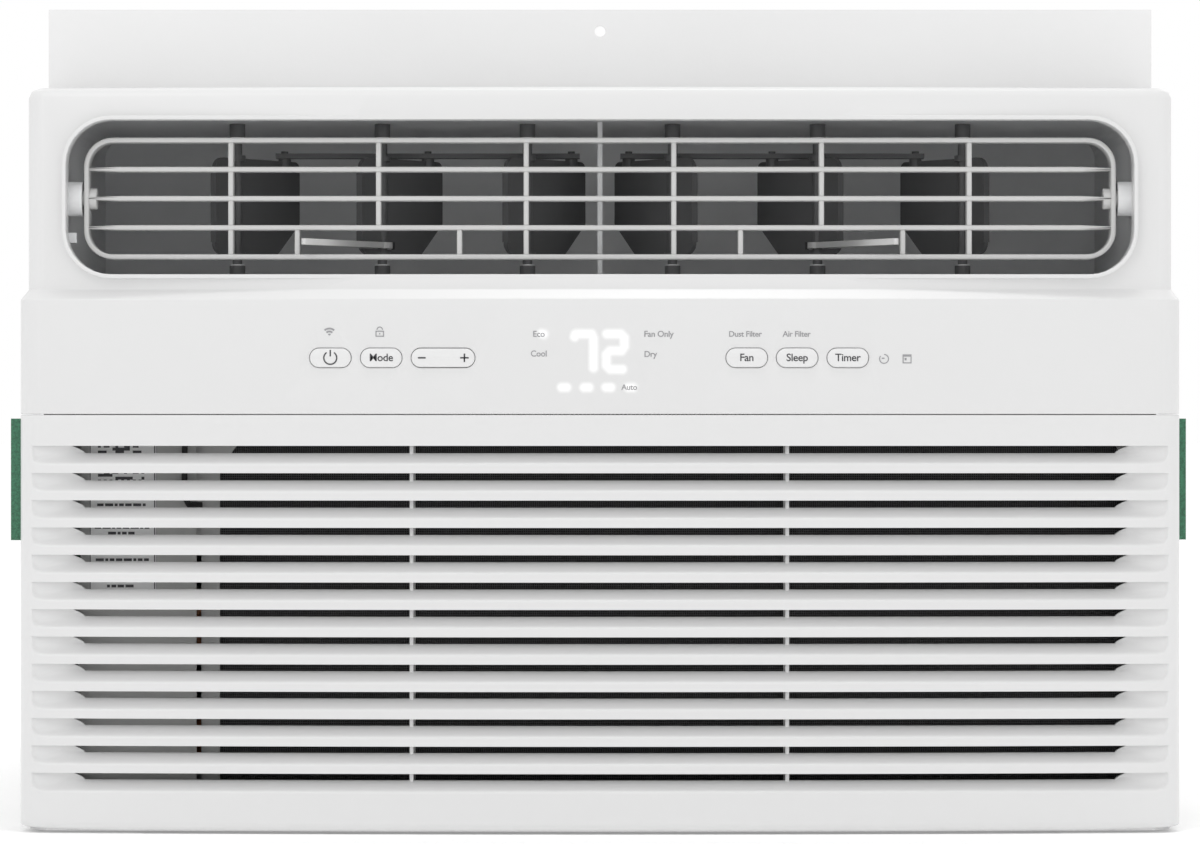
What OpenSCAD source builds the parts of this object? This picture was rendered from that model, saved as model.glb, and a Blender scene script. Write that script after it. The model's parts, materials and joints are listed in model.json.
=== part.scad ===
// Window air conditioner with a bowed front, tilting louvre frame, swinging
// vanes, two slide-out filters and the cooling system inside its steel case.
// Origin: centre of the footprint, underside of the base pan. Front faces -Y.

/* [Overall] */
// Width of the plastic front
front_w = 470; // [440:1:564]
// Height of the plastic front
front_h = 301.4; // [296:0.2:330]
// Depth from the front of the bow to the back of the case
depth = 546; // [520:1:700]
// How far the steel case stands in from each side of the front
case_set_in = 5; // [4:0.5:10]
// Gap between the inside of the front and the top of the steel case
case_drop = 0.6; // [0.4:0.1:4]
// Height of the sash rail above the case
rail_h = 40; // [25:1:60]

/* [Front shell] */
// How far the middle of the front stands ahead of its ends
bow = 8; // [4:0.5:12]
// Wall of the plastic shells
shell_t = 2.8; // [2:0.1:3.5]
// How far the front shells reach back over the case
front_depth = 62; // [56:1:80]
// Radius of the upright front corners
corner_r = 9; // [6:0.5:12]
// Height of the joint between the grille and the upper front
seam_z = 169.2; // [168:0.2:180]
// Top of the control panel
panel_top = 215.5; // [214:0.5:219]
// Step back from the control panel to the outlet face
panel_step = 4.1; // [2:0.1:5]

/* [Air outlet] */
// Plain margin at each end of the air outlet
outlet_margin = 19.5; // [15:0.5:30]
// Height of the air outlet
outlet_h = 62.4; // [56:0.2:64]
// Corner radius of the air outlet
outlet_r = 18; // [8:1:24]
// Height of the outlet's middle above the floor
outlet_z = 256.8; // [255:0.2:262]

/* [Louvre frame] */
// Gap between the outlet and each end of the louvre frame
frame_gap = 6; // [4:0.5:10]
// Height of the louvre frame
frame_h = 49.4; // [44:0.2:50]
// Thickness of its bars and slats
bar_t = 2; // [1.5:0.1:3]
// Depth of its bars
bar_d = 10; // [6:0.5:11]
// Distance of its pivot behind the front of the bow
frame_in = 22; // [20:0.5:24]
// Number of long slats
slat_n = 3; // [2:1:4]

/* [Vanes] */
// Spacing of the vanes
vane_pitch = 60; // [50:1:64]
// Height of a vane
vane_h = 40; // [34:1:42]
// Length of a vane, front to back
vane_l = 50; // [41:1:54]
// Part of that length ahead of the pivot
vane_front = 14; // [10:1:18]
// Thickness of a vane
vane_t = 2; // [1.5:0.1:3]
// Distance of the vane pivots behind the front of the bow
vane_in = 51; // [49:0.5:56]
// Outward splay of the vanes as stored
vane_splay = 40; // [20:1:42]
// Reach of the finger lever from its pivot
lever_l = 51.5; // [46:0.5:54]
// Outward splay of the finger lever as stored
lever_splay = 36; // [30:1:36]

/* [Intake grille] */
// Number of slots
slot_n = 13; // [8:1:13]
// Spacing of the slots
slot_pitch = 11; // [10:0.1:11.5]
// Height of a slot's mouth
slot_h = 7.4; // [6:0.1:8]
// Depth of the blades between the slots
blade_d = 8.5; // [6:0.5:9]
// Rise of a blade's top from front to back
blade_rise = 4.4; // [3:0.1:5]
// Distance of a slot's open end from the side of the front
slot_margin = 21.5; // [20:0.5:50]
// Distance of a slot's scooped end from the side of the front
scoop_margin = 5.5; // [5:0.5:12]

/* [Controls] */
// Width of a push button
button_w = 16.2; // [12:0.2:17]
// Height of a push button
button_h = 7.3; // [5:0.1:9]
// Width of the temperature rocker
rocker_w = 25.1; // [20:0.1:26]
// Height of the button row above the floor
button_z = 191.8; // [188:0.2:196]
// Travel of a push button
button_travel = 0.8; // [0.5:0.1:1.2]

/* [Filters] */
// Thickness of the dust filter
dust_t = 5; // [4:0.5:6]
// Thickness of the allergen filter
allergen_t = 8; // [6:0.5:9]
// Height of the pull tabs
tab_h = 49.4; // [40:0.2:60]
// How far a pull tab stands out past the front's side
tab_out = 4.3; // [3:0.1:8]

/* [Cooling system] */
// Diameter of the indoor blower wheel
blower_d = 150; // [125:1:156]
// Diameter of the outdoor fan with its slinger ring
fan_d = 250; // [220:1:254]
// Diameter of the fan motor
motor_d = 96; // [80:1:110]
// Diameter of the motor shaft
shaft_d = 8; // [6:0.5:10]
// Diameter of the compressor
compressor_d = 112; // [100:1:118]
// Height of the compressor's can
compressor_h = 196; // [170:1:215]
// Diameter of the tubes in the coils
tube_d = 7; // [5:0.5:8]
// Spacing of the tubes in the coils
tube_pitch = 21; // [19:0.5:25]

/* [Hidden] */
$fn = 48;

// Clearances
fit = 0.05;          // radial gap of a pin that turns in its hole
slide_gap = 0.5;     // gap of a sliding or loose-fitting piece
seat_gap = 0.3;      // gap between curved faces of different pieces
over = 1;            // how far a cutter runs past the face it cuts

// Front planes, measured back from the front of the bow
case_w = front_w - 2 * case_set_in;
case_h = front_h - shell_t - case_drop;
front_y = -depth / 2;
back_y = depth / 2;
bow_r = (pow(front_w / 2, 2) + bow * bow) / (2 * bow);
bow_y = front_y + bow_r;
shell_back = front_y + front_depth;
floor_gap = 1;

// Sheet metal
sheet_t = 1;
pan_t = 1.2;
case_front = shell_back - 12;
pan_lip = 22;

// Control panel
board_t = 1.6;
board_in = 14;
board_x = [-121, 128];
board_boss_z = [180, 208];
switch_top = 12;
rocker_in = 8;
rocker_pin_r = 1;
rocker_stem = 8;
cap_in = 11;
button_r = button_h / 2 - 0.01;
button_cut = 0.4;
button_x = [-108.5, -88.0, 59.0, 79.3, 99.7];
rocker_x = -63.1;
lip_depth = 1.2;

// Louvre frame
outlet_w = front_w - 2 * outlet_margin;
frame_w = outlet_w - 2 * frame_gap;
frame_y = front_y + frame_in;
frame_r = 11.7;
frame_pin_r = 2.5;
frame_pin_l = 5.5;
bush_r = 7;
slat_pitch = (frame_h - bar_t) / (slat_n + 1);
short_post_x = [1.5 * vane_pitch - 32.9, 1.5 * vane_pitch + 33];

// Duct
duct_t = 2;
duct_front = frame_y - bush_r;
duct_half = outlet_w / 2 + 1;
duct_low = outlet_z - outlet_h / 2 - 0.5;
duct_high = outlet_z + outlet_h / 2 + 1.2;
rib_t = 2;

// Vanes
vane_x = [for (side = [-1, 1]) for (k = [0.5:1:2.5]) side * k * vane_pitch];
vane_y = front_y + vane_in;
vane_low = outlet_z - vane_h / 2 - 1.8;
vane_high = vane_low + vane_h;
vane_pin_r = 2;
vane_boss_r = 3.1;
vane_boss_h = 6;
vane_gap = 1.2;
tie_arm = vane_l - vane_front - 8;
tie_t = 2;
tie_w = 7;
tie_pin_r = 1.5;
lever_w = 3.2;
lever_t = 2.5;
lever_z = outlet_z - (frame_h - bar_t - slat_pitch) / 2;
lever_tip_w = 2.4;

// Intake grille
slot_half = front_w / 2 - slot_margin;
scoop_half = front_w / 2 - scoop_margin;
first_slot_z = seam_z - 12.8;
grille_top = seam_z - 0.6;
grille_low = floor_gap;
rib_x = [-76, 75.5];
scoop_d = 6;

// Filters and their rails
dust_in = 24;
allergen_in = dust_in + dust_t + 3;
filter_low = 9;
filter_high = seam_z - 3.2;
filter_left = -front_w / 2 + 72.6;
filter_right = front_w / 2 - 13;
filter_end = front_w / 2 - 9;
tab_low = filter_high - 48;
tab_d = 16;
media_left = filter_left + 7.4;
media_right = front_w / 2 - 44;
rail_low = floor_gap + shell_t + 0.2;
plate_in = 19;
sensor_plate_t = 1.2;
lead_r = 1.2;

// Indoor section
coil_left = -case_w / 2 + 74;
coil_right = case_w / 2 - 19;
coil_low = 14;
evap_in = 46;
evap_d = 38;
scroll_in = 91;
scroll_d = 64;
bulkhead_in = 158;
wheel_x = 30;
wheel_z = 140;
wheel_in = 97;
wheel_d = 54;
scroll_t = 2.4;
scroll_r0 = blower_d / 2 + 7;
scroll_grow = 30;
tongue_a = 50;
scroll_mouth = [wheel_x - scroll_r0 - scroll_grow, wheel_x + scroll_r0 * cos(tongue_a) + 16];
coil_n = 7;
coil_tube_z = coil_low + 15;
coil_high = coil_low + 156;

// Outdoor section
motor_in = 186;
motor_l = 88;
cond_d = 38;
cond_in = depth - cond_d - 28;
shroud_in = cond_in - 72;
fan_in = shroud_in - 24;
cond_half = case_w / 2 - 22;
cond_low = 12;
cond_n = 13;
cond_tube_z = cond_low + 13;
cond_high = case_h - 10;
shaft_end = fan_in + 34;
plate_t = 1.2;
stub = 2;
row_at = [0.27, 0.73];
pipe_x = coil_left - 20.5;
pipe_holes = [[pipe_x, 155], [pipe_x, 120]];
side_pipe_x = -cond_half - 11;

// Compressor
comp_x = -case_w / 2 + 82;
comp_y = front_y + 252;
comp_base = 16;
foot_r = 76;
grommet_r = 8;
bolt_r = 3;
acc_x = comp_x + 86;
acc_y = front_y + 250;
acc_r = 21;
acc_low = 70;
acc_high = 186;
drier = [-case_w / 2 + 19, front_y + 350, 118];
drier_l = 110;
drier_r = 9;

// Top rail
rail_t = 1.5;
rail_in = 66;
rail_foot = 22;
rail_hole_r = 2.25;
rail_hole_drop = 9;
rail_screw_x = [-case_w / 2 + 40, -64, 64, case_w / 2 - 40];
screw_r = 2;
screw_head_r = 4;

side_screw_z = 12;
side_screw_y = [front_y + 172, front_y + 330, back_y - 46];

// Case vents
vent_in = 190;
vent_z = 64;
vent_rows = 11;
vent_h = 5;
vent_l = 40;
vent_row_pitch = 16;
vent_col_pitch = 52;
top_vent_l = 50;
top_vent_pitch = 70;
top_vent_row_pitch = 18;

// Control box and cord inlet
box_in = 50.5;
box_d = 102;
box_left = -case_w / 2 + 4;
box_right = box_left + 44;
box_high = 216;
box_t = 1.5;
board_low = 96;
board_high = 196;
capacitor_high = 78;
cord_in = 92;
cord_z = 40;
cord_r = 5;

white_plastic = [0.89, 0.89, 0.89];
grey_plastic = [0.32, 0.32, 0.33];
steel_grey = [0.72, 0.73, 0.74];
copper = [0.72, 0.42, 0.26];

// ---- outlines -----------------------------------------------------------

function arc(c, r, a0, a1, n, first = 0, last = 0) =
    [for (i = [first:n - last]) c + r * [cos(a0 + (a1 - a0) * i / n), sin(a0 + (a1 - a0) * i / n)]];

// Rectangle with round corners, centred
function round_rect(w, h, r, n = 8) = concat(
    arc([w / 2 - r, h / 2 - r], r, 0, 90, n),
    arc([-w / 2 + r, h / 2 - r], r, 90, 180, n),
    arc([-w / 2 + r, -h / 2 + r], r, 180, 270, n),
    arc([w / 2 - r, -h / 2 + r], r, 270, 360, n));

// Bowed front in plan, set in by different amounts at the front and the sides
function plan(inset, side, back) =
    let (w = front_w / 2 - side, rf = bow_r - inset, r = max(corner_r - inset / 2, 1.5),
        cx = w - r, cy = bow_y - sqrt(pow(rf - r, 2) - cx * cx), a = asin(cx / (rf - r)))
    concat([[-w, back]],
        arc([-cx, cy], r, 180, 270 - a, 6),
        arc([0, bow_y], rf, 270 - a, 270 + a, 24, 1, 1),
        arc([cx, cy], r, 270 + a, 360, 6),
        [[w, back]]);

// Depth of the bowed face behind the front plane at a distance from the middle
function bow_at(x) = bow_r - sqrt(bow_r * bow_r - x * x);

// ---- shared shapes ------------------------------------------------------

// Outline in X and Z, extruded from y0 to y1
module along_y(y0, y1) {
    translate([0, y1, 0])
        rotate([90, 0, 0])
            linear_extrude(y1 - y0)
                children();
}

// Outline in Y and Z, extruded from x0 to x1
module along_x(x0, x1) {
    translate([x0, 0, 0])
        rotate([90, 0, 90])
            linear_extrude(x1 - x0)
                children();
}

module block(x0, x1, y0, y1, z0, z1) {
    translate([x0, y0, z0])
        cube([x1 - x0, y1 - y0, z1 - z0]);
}

// Round bar along X, Y or Z between two stations
module rod_x(x0, x1, y, z, r) {
    translate([x0, y, z])
        rotate([0, 90, 0])
            cylinder(h = x1 - x0, r = r);
}

module rod_y(x, y0, y1, z, r) {
    translate([x, y1, z])
        rotate([90, 0, 0])
            cylinder(h = y1 - y0, r = r);
}

module rod_z(x, y, z0, z1, r) {
    translate([x, y, z0])
        cylinder(h = z1 - z0, r = r);
}

// Closed skin through outlines that all have the same number of points
module loft(outlines, heights) {
    n = len(outlines[0]);
    levels = len(outlines);
    points = [for (k = [0:levels - 1]) for (p = outlines[k]) [p[0], p[1], heights[k]]];
    sides = [for (k = [0:levels - 2]) for (i = [0:n - 1])
        [k * n + i, (k + 1) * n + i, (k + 1) * n + (i + 1) % n, k * n + (i + 1) % n]];
    low = [for (i = [0:n - 1]) i];
    high = [for (i = [0:n - 1]) levels * n - 1 - i];
    polyhedron(points, concat([low], sides, [high]));
}

// Section in depth and height, swept round the bow's axis
module bow_sweep(half) {
    a = asin(half / bow_r);
    translate([0, bow_y, 0])
        rotate([0, 0, -90 - a])
            rotate_extrude(angle = 2 * a, $fn = 360)
                children();
}

// Path with its inner corners turned into curves
function round_path(p, r, n = 5) = concat([p[0]],
    [for (i = [1:len(p) - 2]) for (k = [0:n])
        let (a = p[i] + r * (p[i - 1] - p[i]) / norm(p[i - 1] - p[i]),
            b = p[i] + r * (p[i + 1] - p[i]) / norm(p[i + 1] - p[i]), t = k / n)
        (1 - t) * (1 - t) * a + 2 * t * (1 - t) * p[i] + t * t * b],
    [p[len(p) - 1]]);

// Direction across a path at each of its points, carried along without twisting
function carry(tangents, u, i = 0) = i == len(tangents) ? [] :
    let (w = u - (u * tangents[i]) * tangents[i], v = w / norm(w))
    concat([v], carry(tangents, v, i + 1));

// Tube swept along a path of points; across is any direction that is not along its start
module sweep_tube(path, r, across, sides = 10) {
    n = len(path);
    tangents = [for (i = [0:n - 1])
        let (d = path[min(i + 1, n - 1)] - path[max(i - 1, 0)]) d / norm(d)];
    us = carry(tangents, across);
    points = [for (i = [0:n - 1]) for (j = [0:sides - 1])
        let (a = 360 * j / sides) path[i] + r * (cos(a) * us[i] + sin(a) * cross(tangents[i], us[i]))];
    walls = [for (i = [0:n - 2]) for (j = [0:sides - 1])
        [i * sides + j, (i + 1) * sides + j, (i + 1) * sides + (j + 1) % sides, i * sides + (j + 1) % sides]];
    start = [for (j = [0:sides - 1]) j];
    end = [for (j = [0:sides - 1]) n * sides - 1 - j];
    polyhedron(points, concat([start], walls, [end]));
}

// ---- front shells -------------------------------------------------------

module front_fascia() {
    side_step = 3;
    inner_side = min(shell_t + side_step, (front_w - case_w) / 2 - seat_gap);
    top_round = 4;
    lip_t = 1.6;
    step_z = panel_top + panel_step;
    ear_x = 2.5;
    ear_z = [4.6, 6.8];
    color(white_plastic)
        difference() {
            union() {
                difference() {
                    loft([plan(0, 0, shell_back), plan(0, 0, shell_back),
                        plan(panel_step, side_step, shell_back), plan(panel_step, side_step, shell_back),
                        plan(panel_step + 1.2, side_step + 1.2, shell_back),
                        plan(panel_step + top_round, side_step + top_round, shell_back)],
                        [seam_z, panel_top, step_z, front_h - top_round, front_h - 1.2, front_h]);
                    loft([plan(shell_t, shell_t, shell_back + over), plan(shell_t, shell_t, shell_back + over),
                        plan(shell_t + panel_step, inner_side, shell_back + over),
                        plan(shell_t + panel_step, inner_side, shell_back + over)],
                        [seam_z - over, panel_top, step_z, front_h - shell_t]);
                }
                along_y(front_y + panel_step + shell_t / 2, duct_front - seat_gap)
                    translate([0, outlet_z])
                        polygon(round_rect(outlet_w + 2 * lip_t, outlet_h + 2 * lip_t, outlet_r + lip_t));
                for (x = board_x)
                    for (z = board_boss_z)
                        rod_y(x, front_y + bow_at(x) + shell_t / 2, front_y + board_in, z, 3);
                for (side = [-1, 1])
                    block(rocker_x - ear_x, rocker_x + ear_x,
                        front_y + bow_at(rocker_x) + shell_t / 2, front_y + rocker_in + 2.2,
                        button_z + (side > 0 ? ear_z[0] : -ear_z[1]),
                        button_z + (side > 0 ? ear_z[1] : -ear_z[0]));
            }
            along_y(front_y - over, frame_y)
                translate([0, outlet_z])
                    polygon(round_rect(outlet_w, outlet_h, outlet_r));
            for (x = button_x)
                button_hole(x, button_w);
            button_hole(rocker_x, rocker_w);
            rod_z(rocker_x, front_y + rocker_in, button_z - ear_z[1] - over, button_z + ear_z[1] + over,
                rocker_pin_r + fit);
        }
}

module button_hole(x, w) {
    along_y(front_y - over, front_y + bow_at(x) + shell_t + over)
        translate([x, button_z])
            polygon(round_rect(w + 2 * button_cut, button_h + 2 * button_cut, button_r + button_cut));
}

module intake_grille() {
    low_round = 2;
    pad_half = scoop_half + 1.5;
    pad_high = first_slot_z + 2;
    pad_low = first_slot_z - (slot_n - 1) * slot_pitch - slot_h - 3;
    color(white_plastic)
        difference() {
            union() {
                difference() {
                    loft([plan(low_round, low_round, shell_back), plan(0, 0, shell_back),
                        plan(0, 0, shell_back)], [grille_low, grille_low + low_round, grille_top]);
                    loft([plan(shell_t, shell_t, shell_back + over), plan(shell_t, shell_t, shell_back + over)],
                        [grille_low + shell_t, grille_top + over]);
                }
                intersection() {
                    loft([plan(shell_t / 2, shell_t / 2, shell_back), plan(shell_t / 2, shell_t / 2, shell_back)],
                        [pad_low, pad_high]);
                    bow_sweep(pad_half)
                        translate([bow_r - blade_d, pad_low - over])
                            square([blade_d, pad_high - pad_low + 2 * over]);
                }
            }
            for (i = [0:slot_n - 1])
                slot_cut(first_slot_z - i * slot_pitch);
            // Ways for the filters through the side walls, open at the top
            block(-front_w / 2 - over, -front_w / 2 + corner_r, front_y + dust_in - slide_gap,
                front_y + dust_in + dust_t + slide_gap, filter_low - slide_gap, grille_top + over);
            block(front_w / 2 - corner_r, front_w / 2 + over, front_y + allergen_in - slide_gap,
                front_y + allergen_in + allergen_t + slide_gap, filter_low - slide_gap, grille_top + over);
            // Step in the floor for the base pan
            block(-case_w / 2 - 1, case_w / 2 + 1, case_front - slide_gap, shell_back + over,
                grille_low - over, grille_low + shell_t + over);
        }
    // Ribs behind the blades
    color(white_plastic)
        for (x = rib_x)
            block(x - 0.8, x + 0.8, front_y + bow_at(x) + blade_d - 0.5, front_y + bow_at(x) + blade_d + 3,
                pad_low, pad_high);
}

// One slot: a mouth that rises towards the back, with scooped ends
module slot_cut(top) {
    reach = 3;
    slope = blade_rise / blade_d;
    depth = blade_d + reach;
    wedge_x = slot_half - 7.5;
    intersection() {
        bow_sweep(scoop_half + 4)
            polygon([[bow_r + reach, top - slot_h - slope * reach], [bow_r - depth, top - slot_h + slope * depth],
                [bow_r - depth, top + slope * depth], [bow_r, top], [bow_r + reach, top]]);
        union() {
            along_y(front_y - over, front_y + bow + depth + over)
                polygon([[-wedge_x + 1, top - slot_h - 3], [wedge_x - 1, top - slot_h - 3],
                    [slot_half, top], [slot_half, top + depth], [-slot_half, top + depth], [-slot_half, top]]);
            for (side = [-1, 1])
                translate([0, 0, top - slot_h - reach])
                    linear_extrude(slot_h + depth)
                        polygon([[0, front_y - over], [side * (scoop_half + 2), front_y + bow_at(scoop_half) - 0.6],
                            [side * wedge_x, front_y + bow_at(wedge_x) + scoop_d], [0, front_y + scoop_d]]);
        }
    }
}

// ---- controls -----------------------------------------------------------

// Cap that stands a little proud of the panel, with a lip inside the wall and stems for the switches
module push_cap(x, w, stem, gap) {
    proud = 0.6;
    lip = 1.2;
    face = front_y + bow_at(x) - proud;
    wall_back = front_y + bow_at(abs(x) + w / 2 + lip) + shell_t + gap;
    along_y(face, wall_back + lip_depth / 2)
        translate([x, button_z])
            polygon(round_rect(w, button_h, button_r));
    along_y(wall_back, wall_back + lip_depth)
        translate([x, button_z])
            polygon(round_rect(w + 2 * lip, button_h + lip, button_r));
    for (sx = stem)
        block(x + sx - 3, x + sx + 3, wall_back + lip_depth / 2, front_y + cap_in, button_z - 2, button_z + 2);
}

module push_button(i) {
    color(white_plastic)
        push_cap(button_x[i], button_w, [0], fit * 3);
}

module temp_rocker() {
    color(white_plastic) {
        push_cap(rocker_x, rocker_w, [-rocker_stem, rocker_stem], button_travel);
        rod_z(rocker_x, front_y + rocker_in, button_z - 6.4, button_z + 6.4, rocker_pin_r);
    }
}

module display_board() {
    y0 = front_y + board_in;
    color([0.1, 0.3, 0.16])
        block(board_x[0] - 6, board_x[1] + 6, y0, y0 + board_t, board_boss_z[0] - 4, board_boss_z[1] + 4);
    color([0.12, 0.12, 0.12]) {
        for (x = concat(button_x, [rocker_x - rocker_stem, rocker_x + rocker_stem])) {
            block(x - 3, x + 3, y0 - 1.4, y0, button_z - 3, button_z + 3);
            rod_y(x, front_y + switch_top, y0 - 1.4, button_z, 1.6);
        }
        // Light boxes behind the digits and the marks
        block(-15, 15, front_y + 5, y0, 184, 206);
        for (x = [-24.6, 23.6])
            block(x - 6, x + 6, front_y + 6, y0, 188, 205);
    }
}

// ---- air outlet ---------------------------------------------------------

module louvre_frame() {
    half_w = frame_w / 2;
    inner_h = frame_h / 2 - bar_t;
    low_slat = outlet_z - (slat_n - 1) / 2 * slat_pitch;
    post_t = 2;
    post_d = 8;
    head_r = 4.25;
    color([0.8, 0.8, 0.8]) {
        difference() {
            along_y(frame_y - bar_d / 2, frame_y + bar_d / 2)
                translate([0, outlet_z])
                    polygon(round_rect(frame_w, frame_h, frame_r));
            along_y(frame_y - bar_d / 2 - over, frame_y + bar_d / 2 + over)
                translate([0, outlet_z])
                    polygon(round_rect(frame_w - 2 * bar_t, frame_h - 2 * bar_t, frame_r - bar_t));
        }
        for (i = [0:slat_n - 1])
            block(-half_w + bar_t / 2, half_w - bar_t / 2, frame_y - bar_d / 2, frame_y + bar_d / 2,
                low_slat + i * slat_pitch - bar_t / 2, low_slat + i * slat_pitch + bar_t / 2);
        for (side = [-1, 1]) {
            for (k = [0:2]) {
                x = side * (k + 0.5) * vane_pitch;
                block(x - post_t / 2, x + post_t / 2, frame_y - post_d / 2, frame_y + post_d / 2,
                    k == 1 ? low_slat : outlet_z - inner_h - bar_t / 2, outlet_z + inner_h + bar_t / 2);
            }
            for (x = short_post_x)
                block(side * x - post_t / 2, side * x + post_t / 2, frame_y - post_d / 2, frame_y + post_d / 2,
                    outlet_z - inner_h - bar_t / 2, low_slat);
            rod_x(side > 0 ? half_w - bar_t : -half_w - frame_pin_l, side > 0 ? half_w + frame_pin_l : -half_w + bar_t,
                frame_y, outlet_z, frame_pin_r);
            rod_x(side > 0 ? half_w - 5 : -half_w + bar_t / 2, side > 0 ? half_w - bar_t / 2 : -half_w + 5,
                frame_y, outlet_z, head_r);
        }
    }
}

module louvre_bushes() {
    gap = 0.8;
    color([0.6, 0.6, 0.6])
        for (side = [-1, 1])
            difference() {
                rod_x(side > 0 ? frame_w / 2 + gap : -duct_half, side > 0 ? duct_half : -frame_w / 2 - gap,
                    frame_y, outlet_z, bush_r);
                rod_x(side > 0 ? frame_w / 2 : -duct_half + 1, side > 0 ? duct_half - 1 : -frame_w / 2,
                    frame_y, outlet_z, frame_pin_r + fit);
            }
}

module outlet_duct() {
    back = front_y + bulkhead_in - 0.5;
    rib_front = frame_y + 16;
    rib_back = front_y + scroll_in;
    wide = 2 * duct_half;
    high = duct_high - duct_low;
    mid = (duct_high + duct_low) / 2;
    flange = 4;
    color(grey_plastic)
        difference() {
            union() {
                along_y(duct_front, back)
                    translate([0, mid])
                        polygon(round_rect(wide + 2 * duct_t, high + 2 * duct_t, 8 + duct_t));
                along_y(duct_front, duct_front + duct_t)
                    translate([0, mid])
                        polygon(round_rect(wide + 2 * duct_t + flange, high + 2 * duct_t + flange, 12));
            }
            along_y(duct_front - over, back - duct_t)
                translate([0, mid])
                    polygon(round_rect(wide, high, 8));
            // Mouth over the scroll
            block(scroll_mouth[0], scroll_mouth[1], front_y + scroll_in + scroll_t, back - duct_t,
                duct_low - duct_t - over, mid);
        }
    color(grey_plastic) {
        block(-rib_t / 2, rib_t / 2, rib_front, rib_back, duct_low, duct_high);
        // Stop for the louvre frame
        block(-duct_half, -duct_half + 4, frame_y - bar_d / 2, frame_y, outlet_z - 18, outlet_z - 14);
        for (x = vane_x)
            for (z = [duct_low, duct_high - vane_boss_h])
                difference() {
                    rod_z(x, vane_y, z, z + vane_boss_h, vane_boss_r);
                    rod_z(x, vane_y, z > mid ? z - over : z + 1, z > mid ? z + vane_boss_h - 1 : z + vane_boss_h + over,
                        vane_pin_r + fit);
                }
    }
}

// Vane on its pivot, standing straight ahead; the middle vane of a group is notched for the lever
module vane_shape(notched) {
    tail = vane_l - vane_front;
    color(grey_plastic)
        difference() {
            union() {
                along_x(-vane_t / 2, vane_t / 2)
                    polygon(concat(
                        arc([-vane_front + 5, vane_low + 5], 5, 180, 270, 6),
                        [[tail - 14, vane_low], [tail, vane_low + 14]],
                        arc([tail - 3, vane_high - 3], 3, 0, 90, 4),
                        arc([-vane_front + 5, vane_high - 5], 5, 90, 180, 6)));
                block(-vane_t * 0.8, vane_t * 0.8, -vane_front, -vane_front + 2.4, vane_low + 5, vane_high - 5);
                rod_z(0, 0, duct_low + 2, duct_high - 2, vane_pin_r);
                for (z = [vane_low - vane_gap, vane_high - vane_gap])
                    rod_z(0, 0, z, z + 2 * vane_gap, 3.4);
                rod_z(0, tie_arm, vane_high - 3, vane_high + vane_gap + tie_t + 1, tie_pin_r);
                rod_z(0, tie_arm, vane_high - 3, vane_high + vane_gap - 0.1, 2.6);
            }
            if (notched)
                difference() {
                    block(-6, 6, -vane_front - over, 6.5, lever_z - lever_t / 2 - 0.3, lever_z + lever_t / 2 + 0.3);
                    rod_z(0, 0, vane_low, vane_high, vane_pin_r);
                }
        }
}

module vane(side, k) {
    translate([side * (k - 0.5) * vane_pitch, vane_y, 0])
        rotate([0, 0, side * vane_splay])
            vane_shape(k == 2);
}

module lever(side) {
    hub_r = 4.2;
    color([0.78, 0.78, 0.78])
        translate([side * 1.5 * vane_pitch, vane_y, lever_z - lever_t / 2])
            rotate([0, 0, side * lever_splay])
                difference() {
                    union() {
                        cylinder(h = lever_t, r = hub_r);
                        linear_extrude(lever_t)
                            polygon(concat([[-lever_w, 0]],
                                arc([0, -lever_l + lever_tip_w / 2], lever_tip_w / 2, 180, 360, 6),
                                [[lever_w, 0]]));
                    }
                    translate([0, 0, -over])
                        cylinder(h = lever_t + 2 * over, r = vane_pin_r + fit / 2);
                }
}

module tie_bar(side) {
    z = vane_high + vane_gap;
    color(grey_plastic)
        translate([side * 1.5 * vane_pitch - side * tie_arm * sin(vane_splay), vane_y + tie_arm * cos(vane_splay), z])
            difference() {
                translate([-vane_pitch - tie_w / 2, -tie_w / 2, 0])
                    cube([2 * vane_pitch + tie_w, tie_w, tie_t]);
                for (k = [-1:1])
                    translate([k * vane_pitch, 0, -over])
                        cylinder(h = tie_t + 2 * over, r = tie_pin_r + fit);
            }
}

// ---- filters ------------------------------------------------------------

// Frame with a window and cross bars
module filter_frame(x0, x1, y0, t, window_x0, window_x1, bars) {
    border = 4;
    bar = 1.6;
    difference() {
        block(x0, x1, y0, y0 + t, filter_low, filter_high);
        block(window_x0, window_x1, y0 - over, y0 + t + over, filter_low + border, filter_high - border);
    }
    for (x = bars)
        block(x - bar / 2, x + bar / 2, y0, y0 + t, filter_low + border / 2, filter_high - border / 2);
    for (z = [filter_low + 52, filter_low + 104])
        block(window_x0 - 1, window_x1 + 1, y0, y0 + t, z - bar / 2, z + bar / 2);
    // Corner gussets
    for (side = [0, 1])
        along_y(y0, y0 + t)
            translate([side == 0 ? window_x0 - 1 : window_x1 + 1, filter_high - border + 1])
                mirror([side, 0])
                    polygon([[0, 0], [13, 0], [0, -17]]);
}

// Green end of a filter: a grip outside the shell on a tongue that joins the frame
module pull_tab(side, y0, t) {
    wall = front_w / 2;
    y_mid = y0 + t / 2;
    color([0.17, 0.42, 0.29])
        mirror([side > 0 ? 0 : 1, 0, 0]) {
            block(wall + 0.2, wall + tab_out, y_mid - tab_d / 2, y_mid + tab_d / 2, tab_low, tab_low + tab_h);
            block(filter_end, wall + 0.2, y0, y0 + t, tab_low, filter_high);
        }
}

module dust_filter_tab() {
    pull_tab(-1, front_y + dust_in, dust_t);
}

module allergen_filter_tab() {
    pull_tab(1, front_y + allergen_in, allergen_t);
}

module dust_filter_frame() {
    y0 = front_y + dust_in;
    color([0.74, 0.74, 0.74]) {
        filter_frame(filter_left, filter_right, y0, dust_t, media_left, filter_right - 5, rib_x);
        block(-filter_end, filter_left + 1, y0, y0 + dust_t, tab_low, filter_high);
    }
}

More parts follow.
